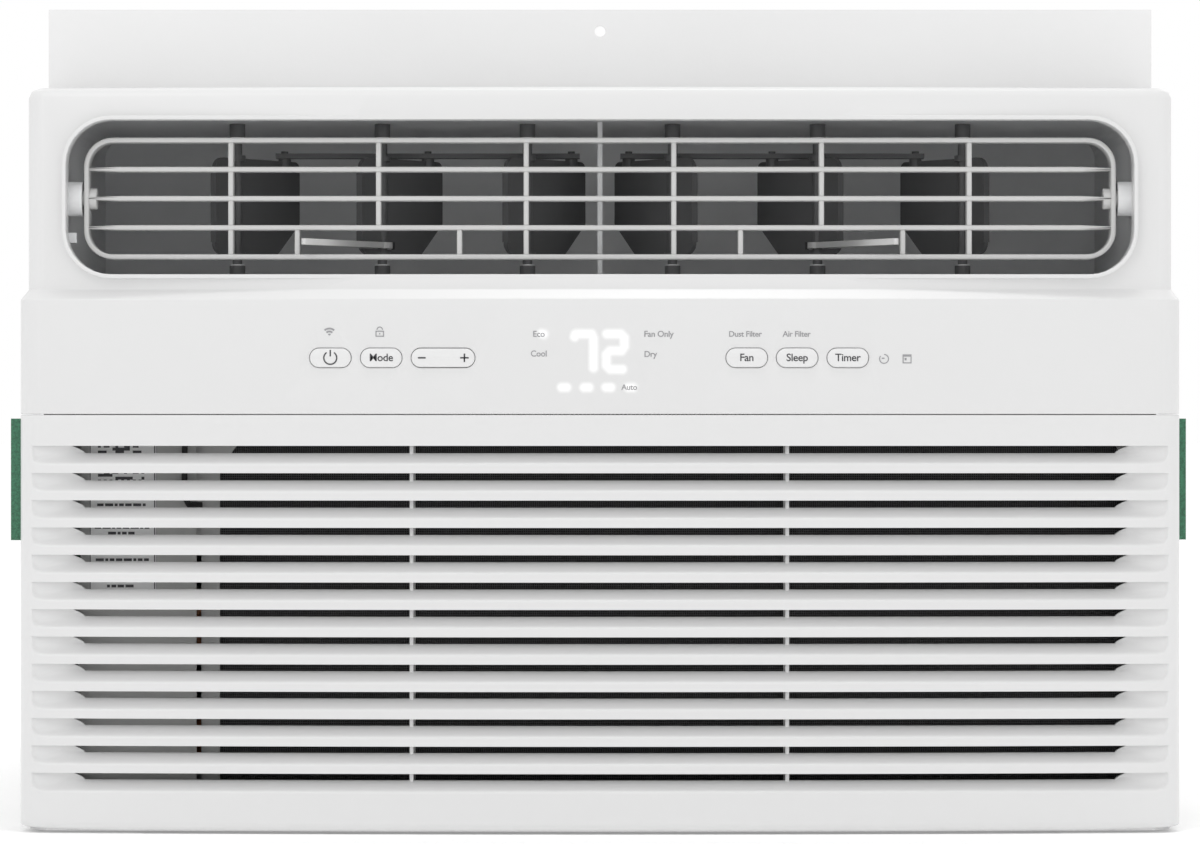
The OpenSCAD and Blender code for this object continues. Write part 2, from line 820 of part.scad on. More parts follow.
module dust_filter_mesh() {
    y = front_y + dust_in + dust_t / 2;
    color([0.12, 0.12, 0.12])
        block(media_left, filter_right - 5, y - 0.3, y + 0.3, filter_low + 4, filter_high - 4);
}

module allergen_filter_frame() {
    y0 = front_y + allergen_in;
    color([0.74, 0.74, 0.74])
        filter_frame(filter_left + 3, filter_end, y0, allergen_t, media_left + 2, media_right, []);
}

module allergen_filter_media() {
    y0 = front_y + allergen_in + 1.5;
    pleats = 44;
    step = (media_right - media_left - 2) / pleats;
    t = 0.6;
    d = allergen_t - 3 - t;
    color([0.25, 0.25, 0.25])
        translate([media_left + 2, y0, filter_low + 4])
            linear_extrude(filter_high - filter_low - 8)
                polygon(concat(
                    [for (i = [0:pleats]) [i * step, i % 2 == 0 ? 0 : d]],
                    [for (i = [pleats:-1:0]) [i * step, (i % 2 == 0 ? 0 : d) + t]]));
}

module filter_rails() {
    y0 = front_y + plate_in + sensor_plate_t;
    y1 = front_y + allergen_in + allergen_t + 3;
    half = front_w / 2 - shell_t - 3;
    groove = 4;
    color([0.7, 0.7, 0.7])
        for (top = [0, 1])
            difference() {
                block(-half, half, y0, y1, top == 0 ? rail_low : filter_high - groove + slide_gap,
                    top == 0 ? filter_low + groove - slide_gap : filter_high + 2);
                for (g = [[dust_in, dust_t], [allergen_in, allergen_t]])
                    block(-half - over, half + over, front_y + g[0] - slide_gap, front_y + g[0] + g[1] + slide_gap,
                        filter_low - slide_gap, filter_high + slide_gap);
            }
}

// Upright plate left of the filters, with a stiffening lip
module label_plate() {
    left = -front_w / 2 + 24;
    right = filter_left - 1.6;
    lip_low = 20;
    lip_high = 110;
    y0 = front_y + plate_in;
    color([0.72, 0.72, 0.72]) {
        block(left, right, y0, y0 + sensor_plate_t, rail_low, filter_high + 2);
        block(left - sensor_plate_t, left, y0, y0 + 3.5, lip_low, lip_high);
    }
}

// Lead of the room sensor with its bulb at the lower end, held by a clip on the plate
module room_sensor() {
    x = filter_left - 6.2;
    y = front_y + plate_in - 2.4;
    bulb_z = 131.6;
    clip_z = 136;
    lead = [[x + 18.8, y, 177], [x + 10.8, y, 171], [x + 0.2, y, 163], [x, y, 148], [x, y, 136],
        [x + 1.8, y, bulb_z + 0.6], [x + 3.4, y, bulb_z]];
    color([0.08, 0.08, 0.08]) {
        sweep_tube(round_path(lead, 1), lead_r, [0, 1, 0], 8);
        rod_x(x + 2.8, x + 7.2, y, bulb_z, lead_r + 0.7);
        difference() {
            block(x - 3.2, x + 2.8, front_y + plate_in - 4, front_y + plate_in, clip_z, clip_z + 5);
            rod_z(x, y, clip_z - over, clip_z + 5 + over, lead_r + fit);
        }
    }
}

// ---- coils --------------------------------------------------------------

// Two rows of tubes joined by return bends past both ends; both free ends are at the top left
module coil_tubes(x0, x1, y0, d, z0, n) {
    for (row = row_at)
        for (i = [0:n - 1])
            rod_x(x0 - stub, x1 + stub, y0 + d * row, z0 + i * tube_pitch, tube_d / 2);
    for (row = row_at)
        for (i = [0:n - 2])
            translate([i % 2 == 0 ? x0 - stub : x1 + stub, y0 + d * row, z0 + (i + 0.5) * tube_pitch])
                rotate([90, 0, 0])
                    rotate([0, 0, i % 2 == 0 ? 90 : -90])
                        return_bend(tube_pitch / 2);
    // Crossover between the rows at the bottom right
    translate([x1 + stub, y0 + d * (row_at[0] + row_at[1]) / 2, z0])
        rotate([0, 0, -90])
            return_bend(d * (row_at[1] - row_at[0]) / 2);
}

module return_bend(r) {
    rotate_extrude(angle = 180)
        translate([r, 0])
            circle(r = tube_d / 2);
}

module tube_bores(x0, x1, y0, d, z0, n) {
    for (row = row_at)
        for (i = [0:n - 1])
            rod_x(x0 - over, x1 + over, y0 + d * row, z0 + i * tube_pitch, tube_d / 2 + fit);
}

module coil_fins(x0, x1, y0, d, z0, z1, tube_z0, n) {
    color([0.78, 0.8, 0.82])
        difference() {
            block(x0, x1, y0, y0 + d, z0, z1);
            tube_bores(x0, x1, y0, d, tube_z0, n);
        }
}

module coil_plates(x0, x1, y0, d, z0, z1, tube_z0, n) {
    color(steel_grey)
        for (x = [x0 - plate_t, x1])
            difference() {
                union() {
                    block(x, x + plate_t, y0 - 2, y0 + d + 2, z0 - 2, z1 + 2);
                    block(x, x + plate_t, y0 + 10, y0 + d - 6, pan_t, z0);
                }
                tube_bores(x, x + plate_t, y0, d, tube_z0, n);
            }
}

module evaporator_fins() {
    coil_fins(coil_left, coil_right, front_y + evap_in, evap_d, coil_low, coil_high, coil_tube_z, coil_n);
}

module evaporator_tubes() {
    color(copper)
        coil_tubes(coil_left, coil_right, front_y + evap_in, evap_d, coil_tube_z, coil_n);
}

module evaporator_plates() {
    coil_plates(coil_left, coil_right, front_y + evap_in, evap_d, coil_low, coil_high, coil_tube_z, coil_n);
}

module condenser_fins() {
    coil_fins(-cond_half, cond_half, front_y + cond_in, cond_d, cond_low, cond_high, cond_tube_z, cond_n);
}

module condenser_tubes() {
    color(copper)
        coil_tubes(-cond_half, cond_half, front_y + cond_in, cond_d, cond_tube_z, cond_n);
}

module condenser_plates() {
    coil_plates(-cond_half, cond_half, front_y + cond_in, cond_d, cond_low, cond_high, cond_tube_z, cond_n);
}

// ---- indoor air ---------------------------------------------------------

// Spiral from the tongue round to the mouth, set out by a wall thickness
function spiral(t) = let (top = duct_low - duct_t - seat_gap) concat(
    [[scroll_mouth[1] + t, top]],
    [for (a = [tongue_a:-6:-180])
        let (r = scroll_r0 + t + scroll_grow * (tongue_a - a) / (tongue_a + 180))
        [wheel_x + r * cos(a), wheel_z + r * sin(a)]],
    [[scroll_mouth[0] - t, top]]);

module blower_scroll() {
    y0 = front_y + scroll_in;
    y1 = front_y + bulkhead_in - 0.5;
    inlet_r = blower_d / 2 - 13;
    color([0.9, 0.9, 0.88]) {
        difference() {
            block(coil_left, coil_right, y0, y0 + scroll_t, pan_t + 6, duct_low - duct_t - seat_gap);
            rod_y(wheel_x, y0 - over, y0 + scroll_t + over, wheel_z, inlet_r);
        }
        along_y(y0 + scroll_t / 2, y1)
            difference() {
                polygon(spiral(scroll_t));
                polygon(concat([spiral(0)[0] + [0, over]], spiral(0), [spiral(0)[len(spiral(0)) - 1] + [0, over]]));
            }
    }
}

module blower_wheel() {
    blades = 36;
    r1 = blower_d / 2;
    r0 = r1 - 17;
    y0 = front_y + wheel_in;
    y1 = y0 + wheel_d;
    hub_r = 14;
    color([0.2, 0.2, 0.2])
        difference() {
            union() {
                // Back plate, front ring and hub
                rod_y(wheel_x, y1 - 2, y1, wheel_z, r1);
                rod_y(wheel_x, y1 - 26, y1, wheel_z, hub_r);
                difference() {
                    rod_y(wheel_x, y0, y0 + 2, wheel_z, r1);
                    rod_y(wheel_x, y0 - over, y0 + 2 + over, wheel_z, r0);
                }
                translate([wheel_x, 0, wheel_z])
                    for (i = [0:blades - 1])
                        rotate([0, 360 * i / blades, 0])
                            translate([r0 + 8, 0, 0])
                                rotate([0, 24, 0])
                                    block(-7.5, 7.5, y0 + 1, y1 - 1, -0.6, 0.6);
            }
            rod_y(wheel_x, y1 - 27, y1 + over, wheel_z, shaft_d / 2);
        }
}

module bulkhead() {
    y0 = front_y + bulkhead_in;
    half = case_w / 2 - sheet_t - pan_t - slide_gap;
    color(steel_grey)
        difference() {
            block(-half, half, y0, y0 + sheet_t, pan_t, case_h - sheet_t - slide_gap);
            rod_y(wheel_x, y0 - over, y0 + sheet_t + over, wheel_z, 16);
            for (hole = pipe_holes)
                rod_y(hole[0], y0 - over, y0 + sheet_t + over, hole[1], 9);
        }
}

// ---- outdoor air --------------------------------------------------------

module fan_motor() {
    y0 = front_y + motor_in;
    y1 = y0 + motor_l;
    r = motor_d / 2;
    color([0.35, 0.36, 0.38])
        difference() {
            union() {
                translate([wheel_x, y0, wheel_z])
                    rotate([-90, 0, 0])
                        rotate_extrude()
                            polygon([[0, -10], [14, -10], [14, 0], [r - 6, 0], [r, 6], [r, motor_l / 2 - 2],
                                [r - 2, motor_l / 2 - 2], [r - 2, motor_l / 2 + 2], [r, motor_l / 2 + 2],
                                [r, motor_l - 6], [r - 6, motor_l], [14, motor_l], [14, motor_l + 8], [0, motor_l + 8]]);
                // Lugs for the bracket bolts
                for (side = [-1, 1])
                    for (up = [-1, 1])
                        block(wheel_x + side * (r - 12) - 8, wheel_x + side * (r - 12) + 8, y0, y0 + 6,
                            wheel_z + up * (r - 12) - 8, wheel_z + up * (r - 12) + 8);
            }
            rod_y(wheel_x, y0 - 11, y1 + 9, wheel_z, shaft_d / 2 + fit);
        }
}

module motor_bracket() {
    y1 = front_y + motor_in;
    t = 2;
    half = motor_d / 2 + 6;
    color(steel_grey)
        difference() {
            union() {
                block(wheel_x - half, wheel_x + half, y1 - t, y1, pan_t, wheel_z + half);
                block(wheel_x - half, wheel_x + half, y1 - 24, y1, pan_t, pan_t + t);
                for (side = [-1, 1])
                    translate([wheel_x + side * (half - t / 2), 0, 0])
                        along_x(-t / 2, t / 2)
                            polygon([[y1, pan_t], [y1, wheel_z], [y1 - 24, pan_t]]);
            }
            rod_y(wheel_x, y1 - t - over, y1 + over, wheel_z, 14 + seat_gap);
        }
}

module motor_shaft() {
    color([0.75, 0.75, 0.77])
        rod_y(wheel_x, front_y + wheel_in + wheel_d - 27, front_y + shaft_end, wheel_z, shaft_d / 2);
}

module condenser_fan() {
    blades = 5;
    r = fan_d / 2;
    y0 = front_y + fan_in;
    ring_d = 14;
    hub_r = 26;
    pitch = 28;
    color([0.15, 0.15, 0.16])
        difference() {
            union() {
                difference() {
                    rod_y(wheel_x, y0, y0 + ring_d, wheel_z, r);
                    rod_y(wheel_x, y0 - over, y0 + ring_d + over, wheel_z, r - 3);
                }
                rod_y(wheel_x, y0 - 4, y0 + 30, wheel_z, hub_r);
                intersection() {
                    translate([wheel_x, y0 + 12, wheel_z])
                        for (i = [0:blades - 1])
                            rotate([0, 360 * i / blades, 0])
                                rotate([pitch, 0, 0])
                                    translate([0, -1, -36])
                                        cube([r - 1, 2, 72]);
                    rod_y(wheel_x, y0 - 6, y0 + 32, wheel_z, r - 1);
                }
            }
            rod_y(wheel_x, y0 - 6, y0 + 33, wheel_z, shaft_d / 2);
        }
}

module fan_shroud() {
    y0 = front_y + shroud_in;
    y1 = front_y + cond_in - 2.3;
    half = cond_half - 2;
    low = pan_t + 1;
    high = case_h - sheet_t - 1;
    orifice_r = fan_d / 2 + 6;
    t = 1.5;
    color([0.55, 0.56, 0.57])
        difference() {
            union() {
                block(-half, half, y0, y1, low, high);
                rod_y(wheel_x, y0 - 10, y0 + t, wheel_z, orifice_r + t);
            }
            block(-half + t, half - t, y0 + t, y1 + over, low + t, high - t);
            rod_y(wheel_x, y0 - 10 - over, y0 + t + over, wheel_z, orifice_r);
        }
}

// ---- refrigeration ------------------------------------------------------

function foot_at(k) = [comp_x + foot_r * cos(90 + 120 * k), comp_y + foot_r * sin(90 + 120 * k)];

module compressor() {
    r = compressor_d / 2;
    dome = 26;
    top = comp_base + compressor_h;
    plate_z = comp_base + 8;
    n = 6;
    color([0.07, 0.07, 0.07]) {
        translate([comp_x, comp_y, 0])
            rotate_extrude()
                polygon(concat([[0, comp_base], [r - 16, comp_base]],
                    [for (i = [0:n]) [r - 16 + 16 * sin(90 * i / n), comp_base + 16 - 16 * cos(90 * i / n)]],
                    [for (i = [0:n]) [14 + (r - 14) * cos(90 * i / n), top - dome + (dome - 8) * sin(90 * i / n)]],
                    [[14, top], [0, top]]));
        difference() {
            translate([0, 0, plate_z])
                linear_extrude(3)
                    union() {
                        for (k = [0:2])
                            translate(foot_at(k))
                                circle(r = 15);
                        polygon([for (k = [0:2]) foot_at(k)]);
                    }
            for (k = [0:2])
                rod_z(foot_at(k)[0], foot_at(k)[1], plate_z - over, plate_z + 3 + over, grommet_r + seat_gap);
        }
    }
}

module compressor_grommets() {
    plate_z = comp_base + 8;
    color([0.1, 0.1, 0.1])
        for (k = [0:2])
            translate([foot_at(k)[0], foot_at(k)[1], 0])
                rotate_extrude()
                    polygon([[bolt_r + 0.2, pan_t], [12, pan_t], [12, plate_z - 0.2], [grommet_r, plate_z - 0.2],
                        [grommet_r, plate_z + 3.2], [11, plate_z + 3.2], [10, plate_z + 8], [bolt_r + 0.2, plate_z + 8]]);
}

module compressor_bolts() {
    top = comp_base + 16;
    color(steel_grey)
        for (k = [0:2]) {
            rod_z(foot_at(k)[0], foot_at(k)[1], pan_t, top + 10, bolt_r);
            rod_z(foot_at(k)[0], foot_at(k)[1], top, top + 1.4, 9);
            translate([foot_at(k)[0], foot_at(k)[1], top + 1.4])
                cylinder(h = 5, r = 5.6, $fn = 6);
        }
}

module accumulator() {
    low = acc_low;
    high = acc_high;
    n = 5;
    elbow_z = low - 22;
    elbow = [[acc_x, acc_y, low + 6], [acc_x, acc_y, elbow_z], [comp_x + compressor_d / 2 - 1, acc_y, elbow_z]];
    color([0.07, 0.07, 0.07]) {
        translate([acc_x, acc_y, 0])
            rotate_extrude()
                polygon(concat([[0, low - 4], [6, low - 4]],
                    [for (i = [0:n]) [6 + (acc_r - 6) * sin(90 * i / n), low + 14 - 14 * cos(90 * i / n)]],
                    [for (i = [0:n]) [6 + (acc_r - 6) * cos(90 * i / n), high - 14 + 14 * sin(90 * i / n)]],
                    [[6, high + 4], [0, high + 4]]));
        sweep_tube(round_path(elbow, 12), 4.5, [0, 1, 0], 12);
    }
}

// Free tube end of a coil at its top left
function coil_end(x0, y0, d, row, z) = [x0 - stub, front_y + y0 + d * row_at[row], z];

module suction_line() {
    evap = coil_end(coil_left, evap_in, evap_d, 1, coil_tube_z + (coil_n - 1) * tube_pitch);
    turn_y = front_y + bulkhead_in + 17;
    cross_z = 244;
    path = [evap, [pipe_x, evap[1], evap[2]], [pipe_x, evap[1] + 20, pipe_holes[0][1]],
        [pipe_x, turn_y, pipe_holes[0][1]], [pipe_x, turn_y, cross_z], [acc_x, turn_y, cross_z],
        [acc_x, acc_y, cross_z], [acc_x, acc_y, acc_high + 3]];
    color(copper)
        sweep_tube(round_path(path, 7.5), 4, [0, 0, 1], 10);
}

module discharge_line() {
    end = coil_end(-cond_half, cond_in, cond_d, 1, cond_tube_z + (cond_n - 1) * tube_pitch);
    start = [comp_x + 30, comp_y, comp_base + compressor_h - 14];
    low_z = end[2] - 12;
    path = [start, start + [0, 0, 40], [start[0], comp_y + 80, start[2] + 40],
        [side_pipe_x, front_y + shroud_in - 22, low_z], [side_pipe_x, end[1] - 9, low_z],
        [side_pipe_x, end[1], low_z + 6], [side_pipe_x, end[1], end[2]], end];
    color(copper)
        sweep_tube(round_path(path, 2.9), 3, [1, 0, 0], 10);
}

module liquid_line() {
    from = coil_end(-cond_half, cond_in, cond_d, 0, cond_tube_z + (cond_n - 1) * tube_pitch);
    to = coil_end(coil_left, evap_in, evap_d, 0, coil_tube_z + (coil_n - 1) * tube_pitch);
    run_z = drier[2] - 22;
    supply = [from, [side_pipe_x, from[1], from[2]], [side_pipe_x, front_y + shroud_in - 14, from[2]],
        [drier[0], drier[1], drier[2] + drier_l + 26], drier + [0, 0, drier_l - 3]];
    capillary = [drier + [0, 0, 3], [drier[0], drier[1], run_z], [side_pipe_x, drier[1] - 20, run_z],
        [side_pipe_x, front_y + bulkhead_in + 17, run_z], [pipe_x, front_y + bulkhead_in + 17, pipe_holes[1][1]],
        [pipe_x, to[1] + 40, pipe_holes[1][1]], [pipe_x, to[1], to[2] - 9], [pipe_x, to[1], to[2]], to];
    neck = 3.6;
    color(copper) {
        sweep_tube(round_path(supply, 2.9), 3, [0, 0, 1], 10);
        sweep_tube(round_path(capillary, 3.5), 1.3, [0, 1, 0], 8);
        translate(drier)
            rotate_extrude()
                polygon([[0, 0], [neck, 0], [neck, 8], [drier_r, 18], [drier_r, drier_l - 18],
                    [neck, drier_l - 8], [neck, drier_l], [0, drier_l]]);
    }
}

// ---- electrics ----------------------------------------------------------

module control_box() {
    y0 = front_y + box_in;
    y1 = y0 + box_d;
    color([0.7, 0.7, 0.7])
        difference() {
            block(box_left, box_right, y0, y1, pan_t, box_high);
            block(box_left + box_t, box_right - box_t, y0 - over, y1 - box_t, pan_t + box_t, box_high - box_t);
            // Way in for the leads
            rod_y((box_left + box_right) / 2, y1 - box_t - over, y1 + over, box_high - 24, 9);
        }
}

module main_board() {
    x = box_left + 8;
    face = x + board_t;
    y0 = front_y + box_in + 10;
    wide = 76;
    relay_low = 150;
    color([0.1, 0.35, 0.2])
        block(x, face, y0, y0 + wide, board_low, board_high);
    color([0.15, 0.15, 0.15]) {
        // Transformer and filter
        block(face, face + 22, y0 + 6, y0 + 34, board_low + 8, board_low + 36);
        block(face, face + 16, y0 + 44, y0 + 64, board_low + 10, board_low + 26);
        // Relays and capacitors
        for (k = [0:2])
            block(face, face + 15, y0 + 8 + 22 * k, y0 + 24 + 22 * k, relay_low, relay_low + 18);
        for (k = [0:3])
            rod_x(face, face + 18, y0 + 12 + 17 * k, board_high - 14, 5);
    }
    // Spacers on the box wall
    color(steel_grey)
        for (y = [y0 + 4, y0 + wide - 4])
            for (z = [board_low + 4, board_high - 4])
                rod_x(box_left + box_t, x, y, z, 2.5);
}

module run_capacitor() {
    x = (box_left + box_right) / 2;
    y = front_y + box_in + 46;
    color([0.8, 0.8, 0.8]) {
        rod_z(x, y, pan_t + box_t, capacitor_high, 20);
        for (side = [-1, 1])
            block(x - 3, x + 3, y + side * 9 - 0.4, y + side * 9 + 0.4, capacitor_high, capacitor_high + 8);
    }
}

module cord_bushing() {
    wall = case_w / 2;
    color([0.1, 0.1, 0.1])
        translate([wall, front_y + cord_in, cord_z])
            rotate([0, 90, 0])
                rotate_extrude()
                    polygon([[cord_r, -4], [cord_r + 5, -4], [cord_r + 3, -sheet_t - 0.1], [cord_r + 3, 0.1],
                        [cord_r + 6, 0.1], [cord_r + 5, 2.4], [cord_r, 2.4]]);
}

// ---- case ---------------------------------------------------------------

module base_pan() {
    half = case_w / 2 - sheet_t - 0.2;
    y0 = case_front + 1;
    y1 = back_y - sheet_t - 0.2;
    color(steel_grey)
        difference() {
            union() {
                block(-half, half, y0, y1, 0, pan_t);
                for (side = [-1, 1])
                    block(side > 0 ? half - pan_t : -half, side > 0 ? half : -half + pan_t, y0, y1, 0, pan_lip);
                block(-half, half, y1 - pan_t, y1, 0, cond_low - 4);
            }
            for (side = [-1, 1])
                for (y = side_screw_y)
                    rod_x(side > 0 ? half - 4 : -half - over, side > 0 ? half + over : -half + 4, y, side_screw_z,
                        screw_r + fit);
        }
}

module cabinet_shell() {
    half = case_w / 2;
    low = 1.6;
    flange = 12;
    top_vent_y = front_y + vent_in + vent_l;
    color(white_plastic)
        difference() {
            block(-half, half, case_front, back_y, low, case_h);
            block(-half + sheet_t, half - sheet_t, case_front - over, back_y - sheet_t, low - over,
                case_h - sheet_t);
            block(-half + flange, half - flange, back_y - sheet_t - over, back_y + over, low - over,
                case_h - flange);
            // Side vents
            for (side = [-1, 1])
                for (col = [0:2])
                    for (row = [0:vent_rows - 1])
                        block(side > 0 ? half - sheet_t - over : -half - over,
                            side > 0 ? half + over : -half + sheet_t + over,
                            front_y + vent_in + col * vent_col_pitch,
                            front_y + vent_in + col * vent_col_pitch + vent_l,
                            vent_z + row * vent_row_pitch, vent_z + row * vent_row_pitch + vent_h);
            // Top vents
            for (col = [0:4])
                for (row = [0:4])
                    block((col - 2) * top_vent_pitch - top_vent_l / 2, (col - 2) * top_vent_pitch + top_vent_l / 2,
                        top_vent_y + row * top_vent_row_pitch, top_vent_y + row * top_vent_row_pitch + vent_h,
                        case_h - sheet_t - over, case_h + over);
            for (side = [-1, 1])
                for (y = side_screw_y)
                    rod_x(side > 0 ? half - 4 : -half - over, side > 0 ? half + over : -half + 4, y, side_screw_z,
                        screw_r + slide_gap / 2);
            for (x = rail_screw_x)
                rod_z(x, front_y + rail_in + rail_foot / 2 + 1, case_h - sheet_t - over, case_h + over,
                    screw_r + slide_gap / 2);
            rod_x(half - sheet_t - over, half + over, front_y + cord_in, cord_z, cord_r + 3 + fit);
        }
}

module top_rail() {
    half = case_w / 2;
    y0 = front_y + rail_in;
    top = case_h + rail_h;
    color(white_plastic)
        difference() {
            union() {
                block(-half, half, y0, y0 + rail_t, case_h, top);
                block(-half, half, y0, y0 + rail_foot, case_h, case_h + rail_t);
            }
            rod_y(0, y0 - over, y0 + rail_t + over, top - rail_hole_drop, rail_hole_r);
            for (x = rail_screw_x)
                rod_z(x, y0 + rail_foot / 2 + 1, case_h - over, case_h + rail_t + over, screw_r + slide_gap / 2);
        }
}

// Screw with a domed head, its shank pointing down from the face it seats on
module screw(l) {
    rotate_extrude()
        polygon(concat([[0, -l], [screw_r - 0.6, -l], [screw_r, -l + 1], [screw_r, 0]],
            [for (a = [0:18:90]) [screw_head_r * cos(a), 2 * sin(a)]]));
}

module case_screws() {
    half = case_w / 2;
    color(steel_grey) {
        for (side = [-1, 1])
            for (y = side_screw_y)
                translate([side * half, y, side_screw_z])
                    rotate([0, side * 90, 0])
                        screw(7);
        for (x = rail_screw_x)
            translate([x, front_y + rail_in + rail_foot / 2 + 1, case_h + rail_t])
                screw(7);
    }
}

base_pan();
cabinet_shell();
front_fascia();
intake_grille();
push_button(0);  // power_button
push_button(1);  // mode_button
temp_rocker();
push_button(2);  // fan_button
push_button(3);  // sleep_button
push_button(4);  // timer_button
display_board();
louvre_frame();
louvre_bushes();
outlet_duct();
vane(-1, 1);  // vane_left_1
vane(-1, 2);  // vane_left_2
vane(-1, 3);  // vane_left_3
vane(1, 1);  // vane_right_1
vane(1, 2);  // vane_right_2
vane(1, 3);  // vane_right_3
lever(-1);  // lever_left
lever(1);  // lever_right
tie_bar(-1);  // tie_bar_left
tie_bar(1);  // tie_bar_right
dust_filter_frame();
dust_filter_mesh();
allergen_filter_frame();
allergen_filter_media();
dust_filter_tab();
allergen_filter_tab();
filter_rails();
label_plate();
room_sensor();
evaporator_fins();
evaporator_tubes();
evaporator_plates();
blower_scroll();
blower_wheel();
fan_motor();
motor_bracket();
motor_shaft();
condenser_fan();
fan_shroud();
bulkhead();
condenser_fins();
condenser_tubes();
condenser_plates();
compressor();
accumulator();
compressor_grommets();
compressor_bolts();
suction_line();
discharge_line();
liquid_line();
control_box();
main_board();
run_capacitor();
cord_bushing();
top_rail();
case_screws();
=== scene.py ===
import json
import math
import bpy
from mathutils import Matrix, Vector

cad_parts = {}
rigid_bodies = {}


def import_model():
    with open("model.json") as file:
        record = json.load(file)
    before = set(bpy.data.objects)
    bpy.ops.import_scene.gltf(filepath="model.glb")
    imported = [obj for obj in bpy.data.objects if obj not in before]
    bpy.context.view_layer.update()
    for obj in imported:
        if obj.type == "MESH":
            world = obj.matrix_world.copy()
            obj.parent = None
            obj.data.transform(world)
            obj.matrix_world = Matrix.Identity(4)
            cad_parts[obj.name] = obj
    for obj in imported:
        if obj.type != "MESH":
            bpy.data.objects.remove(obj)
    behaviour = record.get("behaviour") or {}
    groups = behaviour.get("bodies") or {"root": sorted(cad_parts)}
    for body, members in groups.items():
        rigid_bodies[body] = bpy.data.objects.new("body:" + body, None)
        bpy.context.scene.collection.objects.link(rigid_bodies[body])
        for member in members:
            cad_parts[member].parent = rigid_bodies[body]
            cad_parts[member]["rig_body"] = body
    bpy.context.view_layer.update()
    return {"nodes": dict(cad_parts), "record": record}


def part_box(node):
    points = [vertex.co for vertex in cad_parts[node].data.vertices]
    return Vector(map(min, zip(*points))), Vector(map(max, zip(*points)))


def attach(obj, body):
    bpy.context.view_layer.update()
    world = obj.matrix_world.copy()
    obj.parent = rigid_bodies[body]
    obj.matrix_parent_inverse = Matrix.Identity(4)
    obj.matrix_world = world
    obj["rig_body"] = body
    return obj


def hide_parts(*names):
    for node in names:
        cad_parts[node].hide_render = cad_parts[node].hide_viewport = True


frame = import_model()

nodes = frame["nodes"]
slotOf = {row["node"]: row["material_slot"] for row in frame["record"]["subparts"]}
bodyOf = {name: nodes[name]["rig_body"] for name in nodes}
print("frame loaded:", len(nodes), "nodes")

# picking, copying and joining pieces

def deselectAll():
    bpy.ops.object.select_all(action="DESELECT")

def pick(*pieces):  # the last one becomes active
    deselectAll()
    for piece in pieces:
        piece.select_set(True)
        bpy.context.view_layer.objects.active = piece

def applyModifiers(piece):
    pick(piece)
    for modifier in list(piece.modifiers):
        bpy.ops.object.modifier_apply(modifier=modifier.name)

def settle(piece):  # place, turn and size go into the mesh
    pick(piece)
    bpy.ops.object.transform_apply(location=True, rotation=True, scale=True)
    return piece

def named(piece, name):
    piece.name = name
    piece.data.name = name
    return piece

def copyOf(piece, name):
    copy = bpy.data.objects.new(name, piece.data.copy())
    bpy.context.collection.objects.link(copy)
    return named(copy, name)

def joinAll(pieces, name):
    pick(*pieces)
    if len(pieces) > 1:
        bpy.ops.object.join()
    return named(bpy.context.view_layer.objects.active, name)

def block(centre, size):
    bpy.ops.mesh.primitive_cube_add(size=1, location=centre, scale=size)
    return settle(bpy.context.object)

def rod(radius, length, centre, turn=(0, 0, 0), sides=32):
    bpy.ops.mesh.primitive_cylinder_add(vertices=sides, radius=radius, depth=length,
                                        location=centre, rotation=turn)
    return settle(bpy.context.object)

def dress(piece, material):
    piece.data.materials.clear()
    piece.data.materials.append(material)
    return piece

def selectFaces(piece, test):  # piece is in object mode; test gets the face's centre and normal
    for v in piece.data.vertices:
        v.select = False
    for e in piece.data.edges:
        e.select = False
    for f in piece.data.polygons:
        f.select = test(f.center, f.normal)

def meshCopy(node, name):  # a CAD node's loose triangles, merged into clean faces
    piece = copyOf(nodes[node], name)
    pick(piece)
    bpy.ops.mesh.customdata_custom_splitnormals_clear()
    bpy.ops.object.mode_set(mode="EDIT")
    bpy.ops.mesh.select_all(action="SELECT")
    bpy.ops.mesh.remove_doubles(threshold=0.00001)
    bpy.ops.mesh.dissolve_limited(angle_limit=math.radians(0.12))
    bpy.ops.object.mode_set(mode="OBJECT")
    return piece

def roundEdges(piece, width, segments, limit=32, smooth=35):
    bevel = piece.modifiers.new("edges", "BEVEL")
    bevel.limit_method = "ANGLE"
    bevel.angle_limit = math.radians(limit)
    bevel.width = width
    bevel.segments = segments
    bevel.use_clamp_overlap = False
    bevel.miter_outer = "MITER_ARC"
    applyModifiers(piece)
    bpy.ops.object.shade_smooth_by_angle(angle=math.radians(smooth))
    return piece

def standFor(piece, *names):
    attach(piece, bodyOf[names[0]])
    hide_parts(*names)
    return piece

def rideLike(piece, node):
    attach(piece, bodyOf[node])
    return piece

# finishes

def addNode(tree, kind, settings=None, **inputs):
    made = tree.nodes.new(kind)
    for key, value in (settings or {}).items():
        setattr(made, key, value)
    for key, value in inputs.items():
        socket = made.inputs[key.replace("_", " ")]
        if isinstance(value, bpy.types.NodeSocket):
            tree.links.new(value, socket)
        else:
            socket.default_value = value
    return made

def newFinish(name, colour, roughness, metallic=0.0, specular=0.5):
    material = bpy.data.materials.new(name)
    material.use_nodes = True
    shader = material.node_tree.nodes["Principled BSDF"]
    shader.inputs["Base Color"].default_value = (*colour, 1)
    shader.inputs["Roughness"].default_value = roughness
    shader.inputs["Metallic"].default_value = metallic
    shader.inputs["Specular IOR Level"].default_value = specular
    return material, material.node_tree, shader

def place(tree, stretch=(1, 1, 1)):
    point = addNode(tree, "ShaderNodeTexCoord").outputs["Object"]
    if stretch != (1, 1, 1):
        point = addNode(tree, "ShaderNodeMapping", Vector=point, Scale=stretch).outputs["Vector"]
    return point

